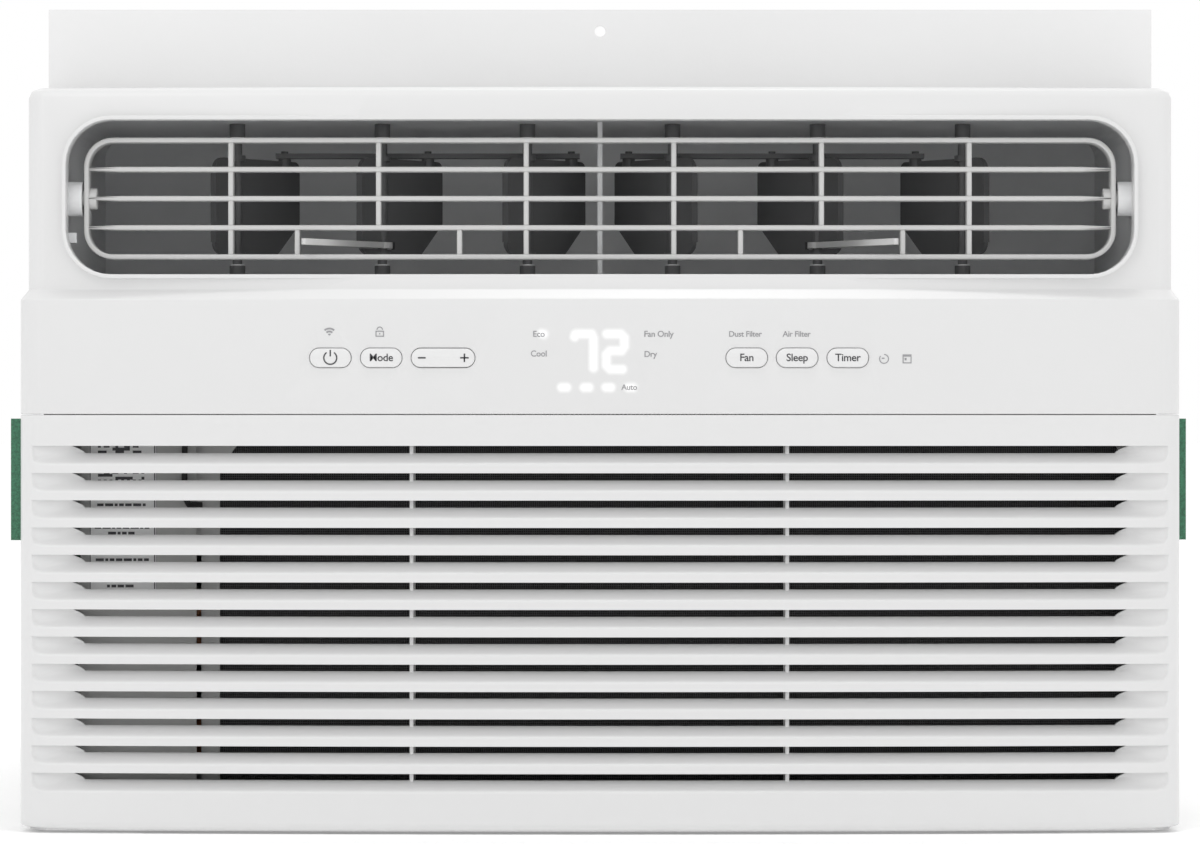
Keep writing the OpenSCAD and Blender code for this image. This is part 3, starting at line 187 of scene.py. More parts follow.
def spread(tree, value, low, high, fromLow=0.3, fromHigh=0.7):
    ends = {"From_Min": fromLow, "From_Max": fromHigh, "To_Min": low, "To_Max": high}
    return addNode(tree, "ShaderNodeMapRange", Value=value, **ends).outputs["Result"]

def blendColours(tree, factor, first, second):
    made = addNode(tree, "ShaderNodeMix", {"data_type": "RGBA"})
    if isinstance(factor, bpy.types.NodeSocket):
        tree.links.new(factor, made.inputs[0])
    else:
        made.inputs[0].default_value = factor
    for socket, colour in ((made.inputs[6], first), (made.inputs[7], second)):
        if isinstance(colour, bpy.types.NodeSocket):
            tree.links.new(colour, socket)
        else:
            socket.default_value = (*colour, 1)
    return made.outputs[2]

def shade(colour, share):
    return tuple(min(1, c * share) for c in colour)

def noise(tree, point, scale, detail, roughness=0.5):
    inputs = {"Vector": point, "Scale": scale, "Detail": detail, "Roughness": roughness}
    return addNode(tree, "ShaderNodeTexNoise", **inputs).outputs["Fac"]

def tintBetween(tree, shader, factor, low, high):
    tree.links.new(blendColours(tree, factor, low, high), shader.inputs["Base Color"])

def roughBetween(tree, shader, value, low, high, *ends):
    tree.links.new(spread(tree, value, low, high, *ends), shader.inputs["Roughness"])

def relief(tree, shader, height, strength, distance):
    bump = addNode(tree, "ShaderNodeBump", Height=height, Strength=strength, Distance=distance)
    tree.links.new(bump.outputs["Normal"], shader.inputs["Normal"])

plasticLook = {"cloud": 14.0, "dustSize": 60.0, "dustColour": (0.45, 0.43, 0.40), "grainDepth": 0.0002}

def mouldedPlastic(name, colour, roughness=0.42, grain=1400, depth=0.05, mottle=0.02, dust=0.0, sheen=0.05):
    material, tree, shader = newFinish(name, colour, roughness)
    point = place(tree)
    cloud = noise(tree, point, plasticLook["cloud"], 4.0, 0.55)
    tint = blendColours(tree, spread(tree, cloud, 0, 1), shade(colour, 1 - mottle), shade(colour, 1 + mottle))
    if dust:
        corner = noise(tree, point, plasticLook["dustSize"], 6.0, 0.7)
        tint = blendColours(tree, spread(tree, corner, 0, dust, 0.5, 0.75), tint, plasticLook["dustColour"])
    tree.links.new(tint, shader.inputs["Base Color"])
    roughBetween(tree, shader, cloud, roughness - sheen, roughness + sheen)
    relief(tree, shader, noise(tree, point, grain, 2.0, 0.6), depth, plasticLook["grainDepth"])
    return material

steelLook = {
    "streak": 9.0, "low": 0.88, "high": 1.06, "bump": 0.08, "depth": 0.0003,
    "flake": 90.0, "dark": 0.55,
}

def sheetSteel(name, colour, roughness=0.35, stretch=(3, 60, 3), spangle=0.0, metallic=1.0):
    material, tree, shader = newFinish(name, colour, roughness, metallic)
    streak = noise(tree, place(tree, stretch), steelLook["streak"], 5.0, 0.6)
    low, high = shade(colour, steelLook["low"]), shade(colour, steelLook["high"])
    tint = blendColours(tree, spread(tree, streak, 0, 1), low, high)
    if spangle:  # galvanised flakes
        flake = addNode(tree, "ShaderNodeTexVoronoi", Vector=place(tree), Scale=steelLook["flake"])
        grey = addNode(tree, "ShaderNodeSeparateColor", Color=flake.outputs["Color"])
        share = spread(tree, grey.outputs["Red"], 0, spangle, 0, 1)
        tint = blendColours(tree, share, tint, shade(colour, steelLook["dark"]))
        roughBetween(tree, shader, grey.outputs["Green"], roughness - 0.1, roughness + 0.14, 0, 1)
    else:
        roughBetween(tree, shader, streak, roughness - 0.07, roughness + 0.09)
    tree.links.new(tint, shader.inputs["Base Color"])
    relief(tree, shader, streak, steelLook["bump"], steelLook["depth"])
    return material

coatLook = {"cloud": 9.0, "low": 0.975, "high": 1.01, "uneven": 0.06, "depth": 0.0003}

def powderCoat(name, colour, roughness=0.45, peel=520, depth=0.12):
    material, tree, shader = newFinish(name, colour, roughness)
    point = place(tree)
    cloud = noise(tree, point, coatLook["cloud"], 4.0)
    low, high = shade(colour, coatLook["low"]), shade(colour, coatLook["high"])
    tintBetween(tree, shader, spread(tree, cloud, 0, 1), low, high)
    roughBetween(tree, shader, cloud, roughness - coatLook["uneven"], roughness + coatLook["uneven"])
    relief(tree, shader, noise(tree, point, peel, 3.0), depth, coatLook["depth"])
    return material

def addMath(tree, operation, first, second=None):
    made = addNode(tree, "ShaderNodeMath", {"operation": operation})
    for socket, value in zip(made.inputs, (first, second)):
        if isinstance(value, bpy.types.NodeSocket):
            tree.links.new(value, socket)
        elif value is not None:
            socket.default_value = value
    return made.outputs[0]

def wovenMesh(name, thread, gap, pitch):
    material, tree, shader = newFinish(name, thread, 0.7)
    parts = addNode(tree, "ShaderNodeSeparateXYZ", Vector=place(tree))
    lines = []
    for axis in ("X", "Z"):
        wave = addMath(tree, "SINE", addMath(tree, "MULTIPLY", parts.outputs[axis], 2 * math.pi / pitch))
        lines.append(spread(tree, wave, 0, 1, 0.45, 0.8))
    weave = addMath(tree, "MAXIMUM", *lines)
    tintBetween(tree, shader, weave, gap, thread)
    relief(tree, shader, weave, 0.7, 0.0004)
    return material

def speckledTab(name, colour, crumbSize=900.0):
    material, tree, shader = newFinish(name, colour, 0.62)
    crumb = noise(tree, place(tree), crumbSize, 3.0, 0.75)
    tintBetween(tree, shader, spread(tree, crumb, 0, 1, 0.36, 0.64), shade(colour, 0.62), shade(colour, 1.42))
    relief(tree, shader, crumb, 0.35, 0.0003)
    return material

def drawnCopper(name, colour, stained=(0.28, 0.115, 0.06)):
    material, tree, shader = newFinish(name, colour, 0.28, 1.0)
    stain = noise(tree, place(tree), 26.0, 6.0, 0.65)
    tintBetween(tree, shader, spread(tree, stain, 0, 1, 0.38, 0.68), colour, stained)
    roughBetween(tree, shader, stain, 0.2, 0.5)
    return material

def beadFoam(name, colour, beads=260.0):
    material, tree, shader = newFinish(name, colour, 0.75)
    settings = {"feature": "DISTANCE_TO_EDGE"}
    bead = addNode(tree, "ShaderNodeTexVoronoi", settings, Vector=place(tree), Scale=beads)
    edge = bead.outputs["Distance"]
    tintBetween(tree, shader, spread(tree, edge, 0, 1, 0.0, 0.12), shade(colour, 0.78), colour)
    relief(tree, shader, edge, 0.5, 0.0006)
    return material

whiteFront = {"colour": (0.70, 0.70, 0.70), "roughness": 0.31, "grain": 1500, "mottle": 0.002, "sheen": 0.006}
whiteKeys = {**whiteFront, "colour": (0.73, 0.73, 0.73), "roughness": 0.30, "depth": 0.04}
ductLook = {"grain": 1100, "depth": 0.08, "mottle": 0.05}
innerLook = {"roughness": 0.5, "grain": 1200, "depth": 0.07, "mottle": 0.03}
finishes = {
    "front_plastic": mouldedPlastic("frontPlastic", **whiteFront),
    "button_plastic": mouldedPlastic("buttonPlastic", **whiteKeys),
    "louvre_plastic": mouldedPlastic("louvrePlastic", (0.57, 0.57, 0.565), 0.38, 1300, mottle=0.015),
    "duct_plastic": mouldedPlastic("ductPlastic", (0.78, 0.785, 0.79), roughness=0.5, **ductLook),
    "vane_plastic": mouldedPlastic("vanePlastic", (0.11, 0.111, 0.113), roughness=0.48, **ductLook),
    "tab_green": speckledTab("tabGreen", (0.036, 0.145, 0.080)),
    "filter_frame_plastic": mouldedPlastic("filterFramePlastic", (0.50, 0.50, 0.495), dust=0.25, **innerLook),
    "filter_mesh": wovenMesh("filterMesh", (0.075, 0.075, 0.077), gap=(0.002, 0.002, 0.002), pitch=0.0009),
    "filter_media": mouldedPlastic("pleatedMedia", (0.045, 0.045, 0.047), 0.85, 900, 0.5, mottle=0.15),
    "inner_plastic": mouldedPlastic("innerPlastic", (0.42, 0.42, 0.415), **innerLook),
    "foam_white": beadFoam("beadFoam", (0.78, 0.78, 0.75)),
    "fan_plastic": mouldedPlastic("fanPlastic", (0.020, 0.020, 0.021), 0.45, 1000, 0.1, mottle=0.1, dust=0.10),
    "case_paint": powderCoat("casePaint", (0.62, 0.62, 0.615)),
    "plated_steel": sheetSteel("platedSteel", (0.62, 0.635, 0.65), 0.38, stretch=(3, 3, 3), spangle=0.35),
    "bright_steel": sheetSteel("brightSteel", (0.66, 0.66, 0.67), 0.25, stretch=(3, 60, 3)),
    "fin_aluminium": sheetSteel("finAluminium", (0.80, 0.81, 0.83), 0.42, stretch=(3, 3, 90), metallic=0.55),
    "copper_tube": drawnCopper("copperTube", (0.72, 0.34, 0.20)),
    "motor_paint": powderCoat("motorPaint", (0.09, 0.092, 0.10), 0.35, peel=420, depth=0.10),
    "compressor_paint": powderCoat("compressorPaint", (0.012, 0.012, 0.012), 0.28, peel=300, depth=0.10),
    "black_rubber": mouldedPlastic("blackRubber", (0.018, 0.018, 0.018), 0.7, 900, 0.15, mottle=0.08),
    "circuit_board": mouldedPlastic("circuitBoard", (0.015, 0.085, 0.040), 0.4, 700, 0.12, mottle=0.25),
    "capacitor_can": sheetSteel("capacitorCan", (0.66, 0.66, 0.66), 0.25, stretch=(3, 3, 60)),
}
for name, node in nodes.items():
    if not node.material_slots:
        node.data.materials.append(finishes[slotOf[name]])
    for slot in node.material_slots:
        slot.material = finishes[slotOf[name]]
print("finishes ready:", len(finishes))

# the bowed front

grilleLow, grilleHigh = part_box("intake_grille")
fasciaLow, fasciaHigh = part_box("front_fascia")
halfWidth = (grilleHigh.x - grilleLow.x) / 2
frontY = grilleLow.y

bowShape = {"depth": 0.008}
bowRadius = (halfWidth ** 2 + bowShape["depth"] ** 2) / (2 * bowShape["depth"])

def bowAt(x):
    return bowRadius - math.sqrt(bowRadius ** 2 - x * x)

fasciaEdge = {"width": 0.0004, "segments": 3}
fascia = roundEdges(meshCopy("front_fascia", "fasciaShell"), fasciaEdge["width"], fasciaEdge["segments"])
standFor(dress(fascia, finishes["front_plastic"]), "front_fascia")
print("fascia:", len(fascia.data.polygons), "faces")

# intake grille: one sheet that follows the bow, with a scooped slot pressed into it again and again

grilleShape = {
    "slots": 13, "pitch": 0.011, "mouth": 0.0074, "topMargin": 0.0122,
    "slopeHigh": 0.0044, "slopeDeep": 0.0050,  # the scoop's lower slope
    "openTop": 0.2138, "openLow": 0.2083, "scoopEnd": 0.2295, "scoopRound": 0.0046,  # from the middle
    "endStep": 0.0013, "endReach": 0.0009, "endSlope": 0.20, "rimSlope": 1.7, "blend": 0.0022,
    "cornerRadius": 0.009, "wall": 0.0022, "edge": 0.0006, "lipRound": 0.0005,
    "endLift": 0.0016, "liftFrom": 0.19, "liftReach": 0.045,  # the foot rises towards its ends
    "filterWays": ((-1, 0.0235, 0.0295), (1, 0.0315, 0.0405)), "wayLow": 0.0085, "wayIn": 0.008,
    "ribs": (-0.076, 0.0755), "ribSize": (0.0016, 0.0035, 0.146), "ribBack": 0.0013, "ribMiddle": 0.0855,
    "floorHalf": 0.2312, "floorBack": 0.0495, "floorThick": 0.0024, "overlap": 0.0003,
}
grilleLines = {  # where the sheet is divided; heights, then distances from the middle or behind the front
    "foot": ((0, 0.002), (0.0003, 0.0013), (0.0010, 0.0005), (0.002, 0.0)),
    "slot": (-0.0005, -0.0003, -0.0001, 0.0001, 0.0003, 0.0005, 0.0007, 0.0011, 0.0018, 0.0026,
             0.0035, 0.0044, 0.0051, 0.0058, 0.0065, 0.0071, 0.00736),
    "below": 0.0011, "low": (0.005, grilleShape["wayLow"], 0.0125), "high": (0.161, 0.165),
    "aboveSlot": (0, 0.12, 0.35, 0.65, 1), "roundTop": (1, 0.6, 0.3, 0.1, 0),
    "side": (fasciaHigh.y - frontY, 0.050, 0.0405, 0.0315, 0.0295, 0.0235, 0.0160),
    "corner": (90, 78, 66, 55, 45),
    "end": (0.2314, 0.2304, 0.2299, 0.22955, 0.2293, 0.2290, 0.2285, 0.2278,
            0.2269, 0.2258, 0.2244, 0.2225, 0.2202, 0.2172),
    "mouth": (0, 0.0008, 0.0020, 0.0040, 0.0070, 0.0110, 0.0160, 0.0230),
}
cornerX = halfWidth - grilleShape["cornerRadius"]
cornerY = frontY + bowRadius - math.sqrt((bowRadius - grilleShape["cornerRadius"]) ** 2 - cornerX ** 2)
tangentX = bowRadius * cornerX / (bowRadius - grilleShape["cornerRadius"])

def faceY(x):  # depth of the shell's outer face at a distance from the middle
    if abs(x) <= tangentX:
        return frontY + bowAt(x)
    reach = min(abs(x) - cornerX, grilleShape["cornerRadius"])
    return cornerY - math.sqrt(grilleShape["cornerRadius"] ** 2 - reach ** 2)

def inward(x, y):  # direction from the outer face into the shell
    if abs(x) <= cornerX or y > cornerY:
        return Vector((0, 1, 0)) if abs(x) <= cornerX else Vector((-math.copysign(1, x), 0, 0))
    return Vector((math.copysign(cornerX, x) - x, cornerY - y, 0)).normalized()

def softMin(a, b, reach):
    gap = max(reach - abs(a - b), 0) / reach
    return min(a, b) - gap * gap * reach / 4

def openHalf(up):  # half width of a slot's opening at a height above its lower edge
    share = (up - grilleShape["slopeHigh"]) / (grilleShape["mouth"] - grilleShape["slopeHigh"])
    share = min(max(share, 0), 1)
    return grilleShape["openLow"] + (grilleShape["openTop"] - grilleShape["openLow"]) * share ** 1.5

def eased(distance):  # a ramp that starts softly
    w = grilleShape["lipRound"]
    if distance >= w:
        return distance
    return (distance + w) ** 2 / (4 * w) if distance > -w else 0.0

def scoopDepth(x, up):
    across = grilleShape["scoopEnd"] - abs(x)
    r = grilleShape["scoopRound"]
    rim = r - math.hypot(r - across, r - up) if across < r and up < r else min(across, up)
    slope = eased(up) * grilleShape["slopeDeep"] / grilleShape["slopeHigh"]
    end = grilleShape["endStep"] * (1 - math.exp(-eased(across) / grilleShape["endReach"]))
    end += grilleShape["endSlope"] * eased(across)
    return max(min(softMin(slope, end, grilleShape["blend"]), grilleShape["rimSlope"] * eased(rim)), 0.0)

def roundedOff(size, share):  # how far a rounded edge sets back, a share of its size along
    return size * (1 - math.sqrt(1 - (1 - share) ** 2))

def grilleRows():  # height, height above the slot's lower edge, set back by rounding
    rows = [(grilleLow.z + rise, None, back) for rise, back in grilleLines["foot"]]
    rows += [(z, None, 0.0) for z in grilleLines["low"]]
    first = grilleHigh.z - grilleShape["topMargin"]
    edge = grilleShape["edge"]
    for k in reversed(range(grilleShape["slots"])):
        low = first - k * grilleShape["pitch"] - grilleShape["mouth"]
        top = low + grilleShape["mouth"]
        rows.append((low - grilleLines["below"], None, 0.0))
        rows += [(low + up, up, 0.0) for up in grilleLines["slot"]]
        rows += [(top + edge * share, None, 0.0) for share in grilleLines["aboveSlot"]]
    rows += [(z, None, 0.0) for z in (first + 0.002, *grilleLines["high"])]
    rim = grilleHigh.z + grilleShape["overlap"]
    rows += [(rim - edge * share, None, roundedOff(edge, share)) for share in grilleLines["roundTop"]]
    return rows

def grilleColumns():  # left half, from the back of the side to the middle
    columns = [("side", offset) for offset in grilleLines["side"]]
    columns += [("corner", angle) for angle in grilleLines["corner"]]
    columns += [("front", x) for x in grilleLines["end"]]
    columns += [("mouth", inset) for inset in grilleLines["mouth"]]
    return columns + [("front", x / 1000) for x in range(175, 0, -7)]

def mouthHalf(up, z):  # between two slots the opening's edge runs on towards the next one
    if up is not None:
        return openHalf(up)
    first = grilleHigh.z - grilleShape["topMargin"]
    share = min((z - first) % grilleShape["pitch"] / (grilleShape["pitch"] - grilleShape["mouth"]), 1)
    return grilleShape["openTop"] + (grilleShape["openLow"] - grilleShape["openTop"]) * share

def columnPoint(kind, amount, side, up, z):
    if kind == "side":
        return side * halfWidth, frontY + amount
    if kind == "corner":
        radius = grilleShape["cornerRadius"]
        turn = math.radians(amount)
        return side * (cornerX + radius * math.sin(turn)), cornerY - radius * math.cos(turn)
    x = mouthHalf(up, z) - amount if kind == "mouth" else amount
    return side * x, faceY(x)

def shellPoint(row, column, footRow):  # the lowest rows rise towards the ends
    z, up, back = row
    side, kind, amount = column
    x, y = columnPoint(kind, amount, side, up, z)
    deep = scoopDepth(x, up) if up is not None and kind in ("front", "mouth") else 0.0
    point = Vector((x, y + deep, z)) + inward(x, y) * back
    footRows = len(grilleLines["foot"])
    if footRow < footRows and abs(x) > grilleShape["liftFrom"]:
        reach = (min(abs(x), halfWidth) - grilleShape["liftFrom"]) / grilleShape["liftReach"]
        point.z += grilleShape["endLift"] * reach ** 2 * (1 - footRow / footRows)
    return point

def isOpen(face, row, column, mouthColumns):  # slots, and the ways that the filters slide out through
    up = row[1]
    across = mouthColumns[0] <= column < mouthColumns[1]
    if across and up is not None and up >= grilleShape["slopeHigh"] - 1e-6:
        return True
    offset = face.center.y - frontY
    for side, near, far in grilleShape["filterWays"]:
        atSide = face.center.x * side > cornerX + grilleShape["wayIn"]
        if atSide and near < offset < far and face.center.z > grilleShape["wayLow"]:
            return True
    return False

def wallStep(point):  # from the outer face to the inner one
    y = min(point.y, cornerY) if abs(point.x) < halfWidth - grilleShape["wall"] else point.y
    return inward(point.x, y) * grilleShape["wall"]

def buildGrille():
    rows = grilleRows()
    half = grilleColumns()
    columns = [(-1, *c) for c in half] + [(1, "front", 0.0)] + [(1, *c) for c in reversed(half)]
    bpy.ops.mesh.primitive_grid_add(x_subdivisions=len(columns) - 1, y_subdivisions=len(rows) - 1, size=1)
    sheet = named(bpy.context.object, "grilleShell")
    for v in sheet.data.vertices:
        r, c = divmod(v.index, len(columns))
        v.co = shellPoint(rows[r], columns[c], r)
    mouthColumns = [c for c, (side, kind, amount) in enumerate(columns) if kind == "mouth" and amount == 0]
    selectFaces(sheet, lambda centre, normal: False)
    for face in sheet.data.polygons:
        r, c = divmod(face.index, len(columns) - 1)
        face.select = isOpen(face, rows[r], c, mouthColumns)
    bpy.ops.object.mode_set(mode="EDIT")
    bpy.ops.mesh.select_mode(type="FACE")
    bpy.ops.mesh.delete(type="FACE")
    bpy.ops.mesh.select_mode(type="VERT")
    bpy.ops.mesh.select_all(action="SELECT")
    bpy.ops.mesh.extrude_region_move(TRANSFORM_OT_translate={"value": (0, 0, 0)})
    bpy.ops.object.mode_set(mode="OBJECT")
    for v in sheet.data.vertices:
        if v.select:
            v.co += wallStep(v.co)
    bpy.ops.object.mode_set(mode="EDIT")
    bpy.ops.mesh.select_all(action="SELECT")
    bpy.ops.mesh.normals_make_consistent(inside=False)
    bpy.ops.object.mode_set(mode="OBJECT")
    bpy.ops.object.shade_smooth_by_angle(angle=math.radians(38))
    return sheet

def buildGrilleRibs():
    ribs = []
    for x in grilleShape["ribs"]:
        y = frontY + bowAt(x) + grilleShape["slopeDeep"] + grilleShape["ribBack"]
        rib = block((x, y, grilleShape["ribMiddle"]), grilleShape["ribSize"])
        ribs.append(roundEdges(rib, 0.0003, 2))
    return ribs

def buildGrilleFloor():
    back = frontY + grilleShape["floorBack"]
    half = grilleShape["floorHalf"]
    outline = [(-half, back), (-half, cornerY)]
    outline += [(x / 1000, faceY(x / 1000) + grilleShape["wall"]) for x in range(-224, 225, 14)]
    outline += [(half, cornerY), (half, back)]
    bpy.ops.mesh.primitive_circle_add(vertices=len(outline), fill_type="NGON")
    plate = named(bpy.context.object, "grilleFloor")
    for v, (x, y) in zip(plate.data.vertices, outline):
        v.co = (x, y, grilleLow.z)
    bpy.ops.object.mode_set(mode="EDIT")
    bpy.ops.mesh.select_all(action="SELECT")
    bpy.ops.mesh.extrude_region_move(TRANSFORM_OT_translate={"value": (0, 0, grilleShape["floorThick"])})
    bpy.ops.mesh.select_all(action="SELECT")
    bpy.ops.mesh.normals_make_consistent(inside=False)
    bpy.ops.object.mode_set(mode="OBJECT")
    return plate

grille = joinAll([*buildGrilleRibs(), buildGrilleFloor(), buildGrille()], "grilleShell")
standFor(dress(grille, finishes["front_plastic"]), "intake_grille")
print("grille:", len(grille.data.polygons), "faces")

# louvre frame: a rounded ring with slats, posts and pivots

louvreLow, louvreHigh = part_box("louvre_frame")
louvreShape = {
    "bar": 0.0020, "depth": 0.010, "corner": 0.0117, "edge": 0.0006,
    "slats": 3, "taper": 0.45, "taperReach": 0.012, "endReach": 0.001, "slatThinner": 0.0006,
    "posts": (0.030, 0.090, 0.150), "shortPosts": (0.0571, 0.1230), "postWide": 0.0021, "postDeep": 0.008,
    "pin": 0.0055, "pinEdge": 0.00035,
    "pinSteps": ((0.0025, -0.002, 0.0055), (0.00425, -0.0050, -0.0010), (0.0034, 0.0, 0.0012)),  # radius, from, to
}
louvreMid = (louvreLow + louvreHigh) / 2
louvreHalfW = (louvreHigh.x - louvreLow.x) / 2 - louvreShape["pin"]
louvreHalfH = (louvreHigh.z - louvreLow.z) / 2

def louvreRing():
    bpy.ops.mesh.primitive_plane_add(size=1, location=louvreMid, rotation=(math.radians(90), 0, 0))
    ring = bpy.context.object
    ring.scale = (2 * louvreHalfW, 2 * louvreHalfH, 1)
    settle(ring)
    bpy.ops.object.mode_set(mode="EDIT")
    bpy.ops.mesh.select_all(action="SELECT")
    bpy.ops.mesh.bevel(offset=louvreShape["corner"], segments=10, affect="VERTICES")
    bpy.ops.mesh.select_all(action="SELECT")
    bpy.ops.mesh.inset(thickness=louvreShape["bar"])
    bpy.ops.mesh.delete(type="FACE")
    bpy.ops.mesh.select_all(action="SELECT")
    bpy.ops.mesh.extrude_region_move(TRANSFORM_OT_translate={"value": (0, louvreShape["depth"], 0)})
    bpy.ops.mesh.select_all(action="SELECT")
    bpy.ops.transform.translate(value=(0, -louvreShape["depth"] / 2, 0))
    bpy.ops.mesh.normals_make_consistent(inside=False)
    bpy.ops.object.mode_set(mode="OBJECT")
    return roundEdges(ring, louvreShape["edge"], 3, 40)

def taperEnds(bar, x, middle):  # thin the last stretch of a slat at both ends
    bpy.ops.object.mode_set(mode="EDIT")
    for reach in (louvreShape["taperReach"], 0.0):
        for side in (-1, 1):
            bpy.ops.mesh.select_all(action="SELECT")
            cut = side * (x - reach - louvreShape["endReach"])
            bpy.ops.mesh.bisect(plane_co=(cut, 0, 0), plane_no=(1, 0, 0))
    bpy.ops.object.mode_set(mode="OBJECT")
    for v in bar.data.vertices:
        if abs(v.co.x) > x - 2.5 * louvreShape["endReach"]:
            v.co.z = middle + (v.co.z - middle) * louvreShape["taper"]

def louvreBar(x0, x1, z0, z1, deep, tapered=False):
    bar = block(((x0 + x1) / 2, louvreMid.y, (z0 + z1) / 2), (x1 - x0, deep, z1 - z0))
    if tapered:
        taperEnds(bar, x1, (z0 + z1) / 2)
    return roundEdges(bar, louvreShape["edge"], 3, 40)

def louvrePost(x, low, high):
    half = louvreShape["postWide"] / 2
    return louvreBar(x - half, x + half, low, high, louvreShape["postDeep"])

def louvrePin(side):
    parts = []
    for radius, start, end in louvreShape["pinSteps"]:
        spot = (side * (louvreHalfW + (start + end) / 2), louvreMid.y, louvreMid.z)
        step = rod(radius, end - start, spot, (0, math.radians(90), 0))
        parts.append(roundEdges(step, louvreShape["pinEdge"], 2, 40))
    return parts

def buildLouvre():
    parts = [louvreRing()]
    bar, into = louvreShape["bar"], louvreShape["endReach"]  # slats and posts run a little way into the ring
    pitch = (2 * louvreHalfH - bar) / (louvreShape["slats"] + 1)
    lowSlat = louvreMid.z - (louvreShape["slats"] - 1) / 2 * pitch
    foot = louvreMid.z - louvreHalfH + bar - into
    top = louvreMid.z + louvreHalfH - bar + into
    reach = louvreHalfW - into
    for k in range(louvreShape["slats"]):
        z = lowSlat + k * pitch
        deep = louvreShape["depth"] - louvreShape["slatThinner"]
        parts.append(louvreBar(-reach, reach, z - bar / 2, z + bar / 2, deep, tapered=True))
    for side in (-1, 1):
        for k, x in enumerate(louvreShape["posts"]):
            parts.append(louvrePost(side * x, lowSlat if k == 1 else foot, top))
        for x in louvreShape["shortPosts"]:
            parts.append(louvrePost(side * x, foot, lowSlat))
        parts += louvrePin(side)
    return joinAll(parts, "louvreFrame")

louvre = standFor(dress(buildLouvre(), finishes["louvre_plastic"]), "louvre_frame")
print("louvre frame:", len(louvre.data.polygons), "faces")

# sleeves round the vanes' pivots, in the roof and floor of the duct
sleeveLook = {
    "radius": 0.00325, "height": 0.0062, "edge": 0.0004,
    "x": (0.030, 0.090, 0.150), "back": 0.051, "over": 0.0025,
}

def buildSleeves():
    vaneLow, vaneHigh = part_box("vane_left_1")
    shift = sleeveLook["height"] / 2 - sleeveLook["over"]
    sleeves = []
    for side in (-1, 1):
        for x in sleeveLook["x"]:
            for z in (vaneLow.z + shift, vaneHigh.z - shift):
                spot = (side * x, frontY + sleeveLook["back"], z)
                sleeve = rod(sleeveLook["radius"], sleeveLook["height"], spot, sides=28)
                sleeves.append(roundEdges(sleeve, sleeveLook["edge"], 2, 40))
    return joinAll(sleeves, "pivotSleeves")

rideLike(dress(buildSleeves(), finishes["vane_plastic"]), "outlet_duct")

# control panel: lit figures shine through the shell, marks are printed on it

panelLook = {
    "height": 0.00004, "lift": 0.00005,  # of the printed film
    "glow": 0.32, "stroke": 0.00105, "soft": 0.0019, "frontReach": 0.002,
}
figures = [  # strokes as start x, z and end x, z in millimetres
    (-9.8, 201.4, -3.4, 201.4), (-3.4, 201.4, -2.6, 199.6), (-2.6, 199.6, -2.6, 187.8),
    (-9.8, 201.4, -10.2, 200.2),
    (2.8, 201.4, 8.4, 201.4), (8.4, 201.4, 9.8, 199.8), (9.8, 199.8, 9.8, 196.4), (9.8, 196.4, 8.6, 194.6),
    (8.6, 194.6, 4.0, 194.6), (4.0, 194.6, 2.6, 193.0), (2.6, 193.0, 2.6, 188.8), (2.6, 188.8, 4.0, 187.2),
    (4.0, 187.2, 9.0, 187.2),
    (-15.4, 179.9, -13.4, 179.9), (-6.4, 179.9, -4.4, 179.9), (2.4, 179.9, 4.4, 179.9),  # fan speed dots
    (11.4, 179.9, 13.2, 179.9), (-23.4, 201.5, -22.6, 201.3),  # behind Auto and Eco
]

def strokeDistance(tree, x, z, stroke):
    x0, z0, x1, z1 = [v / 1000 for v in stroke]
    length = math.hypot(x1 - x0, z1 - z0)
    ux, uz = (x1 - x0) / length, (z1 - z0) / length
    dx, dz = addMath(tree, "SUBTRACT", x, x0), addMath(tree, "SUBTRACT", z, z0)
    along = addMath(tree, "ADD", addMath(tree, "MULTIPLY", dx, ux), addMath(tree, "MULTIPLY", dz, uz))
    along = addMath(tree, "MINIMUM", addMath(tree, "MAXIMUM", along, 0.0), length)
    dx = addMath(tree, "SUBTRACT", dx, addMath(tree, "MULTIPLY", along, ux))
    dz = addMath(tree, "SUBTRACT", dz, addMath(tree, "MULTIPLY", along, uz))
    squares = addMath(tree, "ADD", addMath(tree, "MULTIPLY", dx, dx), addMath(tree, "MULTIPLY", dz, dz))
    return addMath(tree, "SQRT", squares)

def litPanel(material):
    tree = material.node_tree
    shader = tree.nodes["Principled BSDF"]
    parts = addNode(tree, "ShaderNodeSeparateXYZ", Vector=place(tree))
    x, z = parts.outputs["X"], parts.outputs["Z"]
    nearest = strokeDistance(tree, x, z, figures[0])
    for stroke in figures[1:]:
        nearest = addMath(tree, "MINIMUM", nearest, strokeDistance(tree, x, z, stroke))
    near = panelLook["stroke"] - panelLook["soft"] * 0.5
    far = panelLook["stroke"] + panelLook["soft"]
    limits = {"From_Min": near, "From_Max": far, "To_Min": panelLook["glow"], "To_Max": 0.0}
    reach = addNode(tree, "ShaderNodeMapRange", {"interpolation_type": "SMOOTHSTEP"}, Value=nearest, **limits)
    front = addMath(tree, "LESS_THAN", parts.outputs["Y"], frontY + panelLook["frontReach"])
    glow = addMath(tree, "MULTIPLY", reach.outputs["Result"], front)
    tree.links.new(glow, shader.inputs["Emission Strength"])
    shader.inputs["Emission Color"].default_value = (1, 1, 1, 1)
    return material

dress(fascia, litPanel(mouldedPlastic("panelPlastic", **whiteFront)))

darkPrint = newFinish("darkPrint", (0.045, 0.045, 0.05), 0.5)[0]
greyPrint = newFinish("greyPrint", (0.30, 0.30, 0.31), 0.5)[0]

